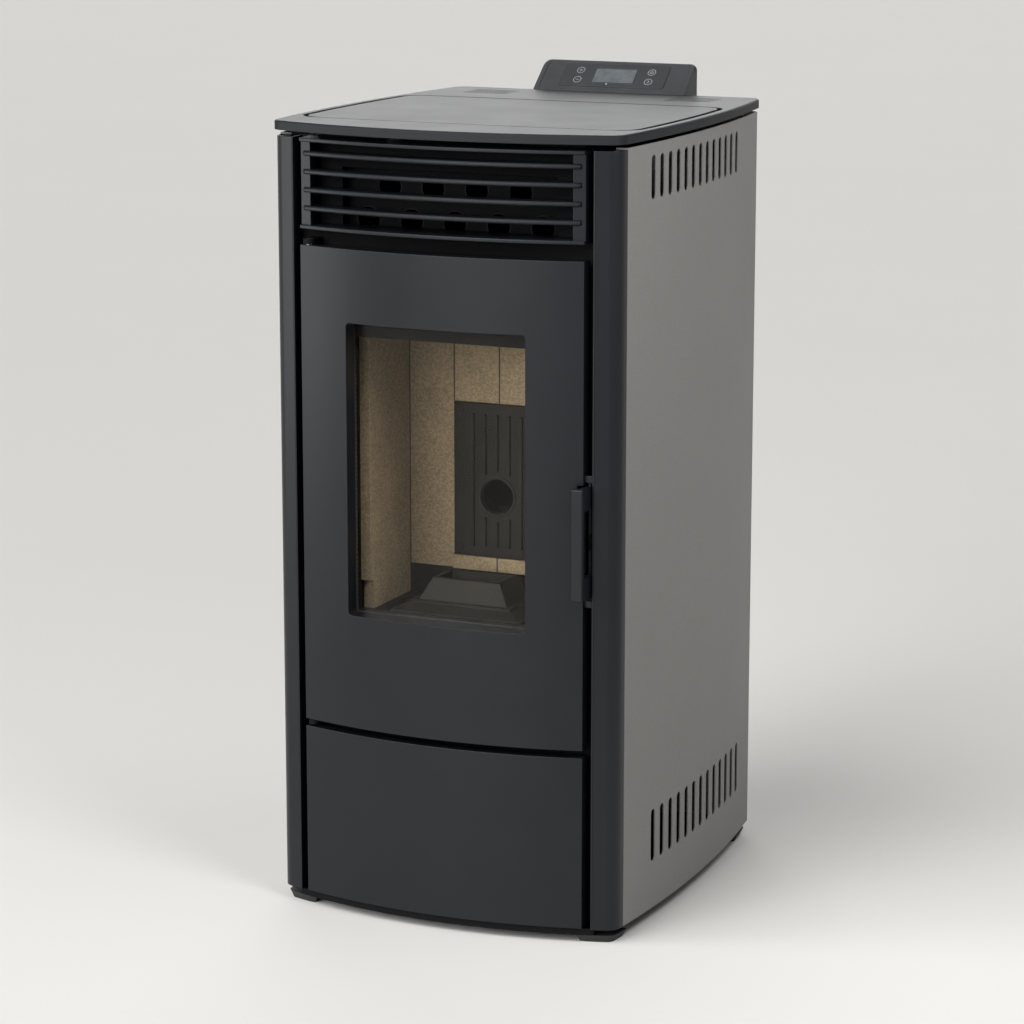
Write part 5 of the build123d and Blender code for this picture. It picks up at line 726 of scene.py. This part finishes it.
class STOVE_OT_console(bpy.types.Operator):
    """Printed signs over the four touch keys, a frame round the display and a signal lamp"""
    bl_idname = "stove.console"
    bl_label = "Console"

    def execute(self, context):
        across = Vector((1, 0, 0))
        foot = at(0, *CONSOLE_FOOT)
        up = (at(0, *CONSOLE_HEAD) - foot).normalized()
        out = across.cross(up)
        film = max((v.co - foot).dot(out) for v in NODES["console_fascia"].data.vertices)
        ink = 0.06 * MM  # of the print over the film
        origin = foot + out * (film + ink)
        radius = sizes().key_ring / 2
        stroke = 0.8 * MM

        def spot(x, rise):
            return origin + across * x * MM + up * rise * MM

        def signs(form):
            size = radius * 0.45  # half of a sign's
            for x, rise, sign in KEYS:
                centre = spot(x, rise)
                ring_face(form, centre, across, up, radius, stroke)
                if sign == "on":
                    ring_face(form, centre, across, up, size, stroke, *OPEN_ARC)
                for ends in STROKES[sign]:
                    start, end = ([size * v for v in point] for point in ends)
                    bar_face(form, centre, across, up, start, end, stroke)

        mesh_piece("touch_key_print", signs, "fascia_film", "cabinet", ink_or_painted_shade("key_print", "#8E9093"))

        low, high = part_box("display_window")
        middle = (low + high) / 2
        half_up = (high - low).dot(up) / 2
        rise = (middle - foot).dot(up)
        gap = 0.9 * MM  # from the pane's edge to the middle of the line
        corner = step = 2 * MM
        # the line's section: outwards from its middle, and up from the film
        section = ((-0.8 * MM, 0), (-0.5 * MM, 0.25 * MM), (0.5 * MM, 0.25 * MM), (0.8 * MM, 0))

        def frame_line(form):
            line = ring_path(spot(0, rise / MM), across, up, high.x + gap, half_up + gap, corner, step)
            rows = [[form.verts.new(p + away * w + out * h) for w, h in section] for p, away in line]
            skin(form, rows, round_across=False)

        mesh_piece("display_frame", frame_line, "console_plastic", "cabinet", ink_or_painted_shade("frame_ink", "#2C2E31"))
        dome = [(1.1 * MM, 0), (1.0 * MM, 0.25 * MM), (0.6 * MM, 0.5 * MM), (0, 0.55 * MM)]
        mesh_piece("signal_lamp", lambda form: lathe(form, dome, spot(*SIGNAL_LAMP), out, steps=16),
                   "display_glass", "cabinet", moulded_plastic("clear_lens", "#B4B6B4", "#C8CAC8", 0.2, 1.0))
        return {"FINISHED"}


class STOVE_OT_stage(bpy.types.Operator):
    """Pale floor, soft studio light and the camera"""
    bl_idname = "stove.stage"
    bl_label = "Stage"

    def execute(self, context):
        self.floor()
        self.lights()
        self.camera()
        return {"FINISHED"}

    def floor(self):
        """A wide, matt floor that runs out of view."""
        material, tree, shader = blank("studio_floor")
        code = colours().floor
        tree.links.new(shades(tree, grain(tree, 900, 2), shift(code, -0.006), code),
                       shader.inputs["Base Color"])
        shader.inputs["Roughness"].default_value = 0.9
        shader.inputs["Specular IOR Level"].default_value = 0.1
        data = bpy.data.meshes.new("studio_floor")
        form = bmesh.new()
        bmesh.ops.create_grid(form, x_segments=1, y_segments=1, size=FLOOR_REACH)
        form.to_mesh(data)
        form.free()
        ground = bpy.data.objects.new("studio_floor", data)
        bpy.context.scene.collection.objects.link(ground)
        dress(ground, material)

    def lights(self):
        """A weak even sky, two panels and four wide distant lamps."""
        world = bpy.data.worlds.new("studio")
        bpy.context.scene.world = world
        world.use_nodes = True
        background = world.node_tree.nodes["Background"]
        background.inputs["Color"].default_value = linear("#F6F6F6")
        background.inputs["Strength"].default_value = WORLD_LEVEL
        for name, spot, aim, size, power in PANELS:
            lamp = bpy.data.lights.new(name, "AREA")
            lamp.shape = "RECTANGLE"
            lamp.size, lamp.size_y = size
            lamp.energy = power
            self.hang(name, lamp, Vector(spot), Vector(aim))
        for name, azimuth, height, spread, power in DISTANT:
            lamp = bpy.data.lights.new(name, "SUN")
            lamp.angle = math.radians(spread)
            lamp.energy = power
            turn, rise = math.radians(azimuth), math.radians(height)
            spot = Vector((math.sin(turn) * math.cos(rise), -math.cos(turn) * math.cos(rise), math.sin(rise)))
            self.hang(name, lamp, spot * LAMP_DISTANCE, Vector((0, 0, 0)))

    def hang(self, name, lamp, spot, aim):
        """Puts a lamp at a spot, turned towards its aim."""
        obj = bpy.data.objects.new(name, lamp)
        obj.location = spot
        obj.rotation_mode = "QUATERNION"
        obj.rotation_quaternion = (aim - spot).to_track_quat("-Z", "Y")
        bpy.context.scene.collection.objects.link(obj)

    def camera(self):
        """The one camera, without shift."""
        view = bpy.data.cameras.new("camera")
        view.lens = CAMERA_LENS
        view.sensor_width = 36.0
        view.clip_end = 100.0
        obj = bpy.data.objects.new("camera", view)
        obj.location = CAMERA_PLACE
        azimuth = math.radians(CAMERA_AZIMUTH)
        pitch = math.radians(CAMERA_PITCH)
        forward = Vector((-math.sin(azimuth) * math.cos(pitch), math.cos(azimuth) * math.cos(pitch),
                          -math.sin(pitch)))
        obj.rotation_mode = "QUATERNION"
        obj.rotation_quaternion = forward.to_track_quat("-Z", "Y")
        bpy.context.scene.collection.objects.link(obj)
        bpy.context.scene.camera = obj
        bpy.context.scene.view_settings.view_transform = "Standard"


class STOVE_PT_panel(bpy.types.Panel):
    """Lists the stove's operators and values"""
    bl_idname = "STOVE_PT_panel"
    bl_label = "Pellet stove"
    bl_space_type = "VIEW_3D"
    bl_region_type = "UI"
    bl_category = "Pellet stove"

    def draw(self, context):
        for operator in OPERATORS:
            self.layout.operator(operator.bl_idname)
        for group in (context.scene.stove_sizes, context.scene.stove_colours):
            for key in group.__annotations__:
                self.layout.prop(group, key)


OPERATORS = (
    STOVE_OT_finishes, STOVE_OT_seals, STOVE_OT_board_seams, STOVE_OT_rear_screws, STOVE_OT_plate_screws,
    STOVE_OT_console, STOVE_OT_stage)
CLASSES = (StoveSizes, StoveColours) + OPERATORS + (STOVE_PT_panel,)


def register():
    """Registers the classes and hangs both groups of values on the scene."""
    for item in CLASSES:
        bpy.utils.register_class(item)
    bpy.types.Scene.stove_sizes = bpy.props.PointerProperty(type=StoveSizes)
    bpy.types.Scene.stove_colours = bpy.props.PointerProperty(type=StoveColours)


def unregister():
    """Takes back what register did."""
    del bpy.types.Scene.stove_colours
    del bpy.types.Scene.stove_sizes
    for item in reversed(CLASSES):
        bpy.utils.unregister_class(item)


def main():
    """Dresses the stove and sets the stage."""
    register()
    for operator in OPERATORS:
        group, name = operator.bl_idname.split(".")
        getattr(getattr(bpy.ops, group), name)()


if __name__ == "__main__":
    main()
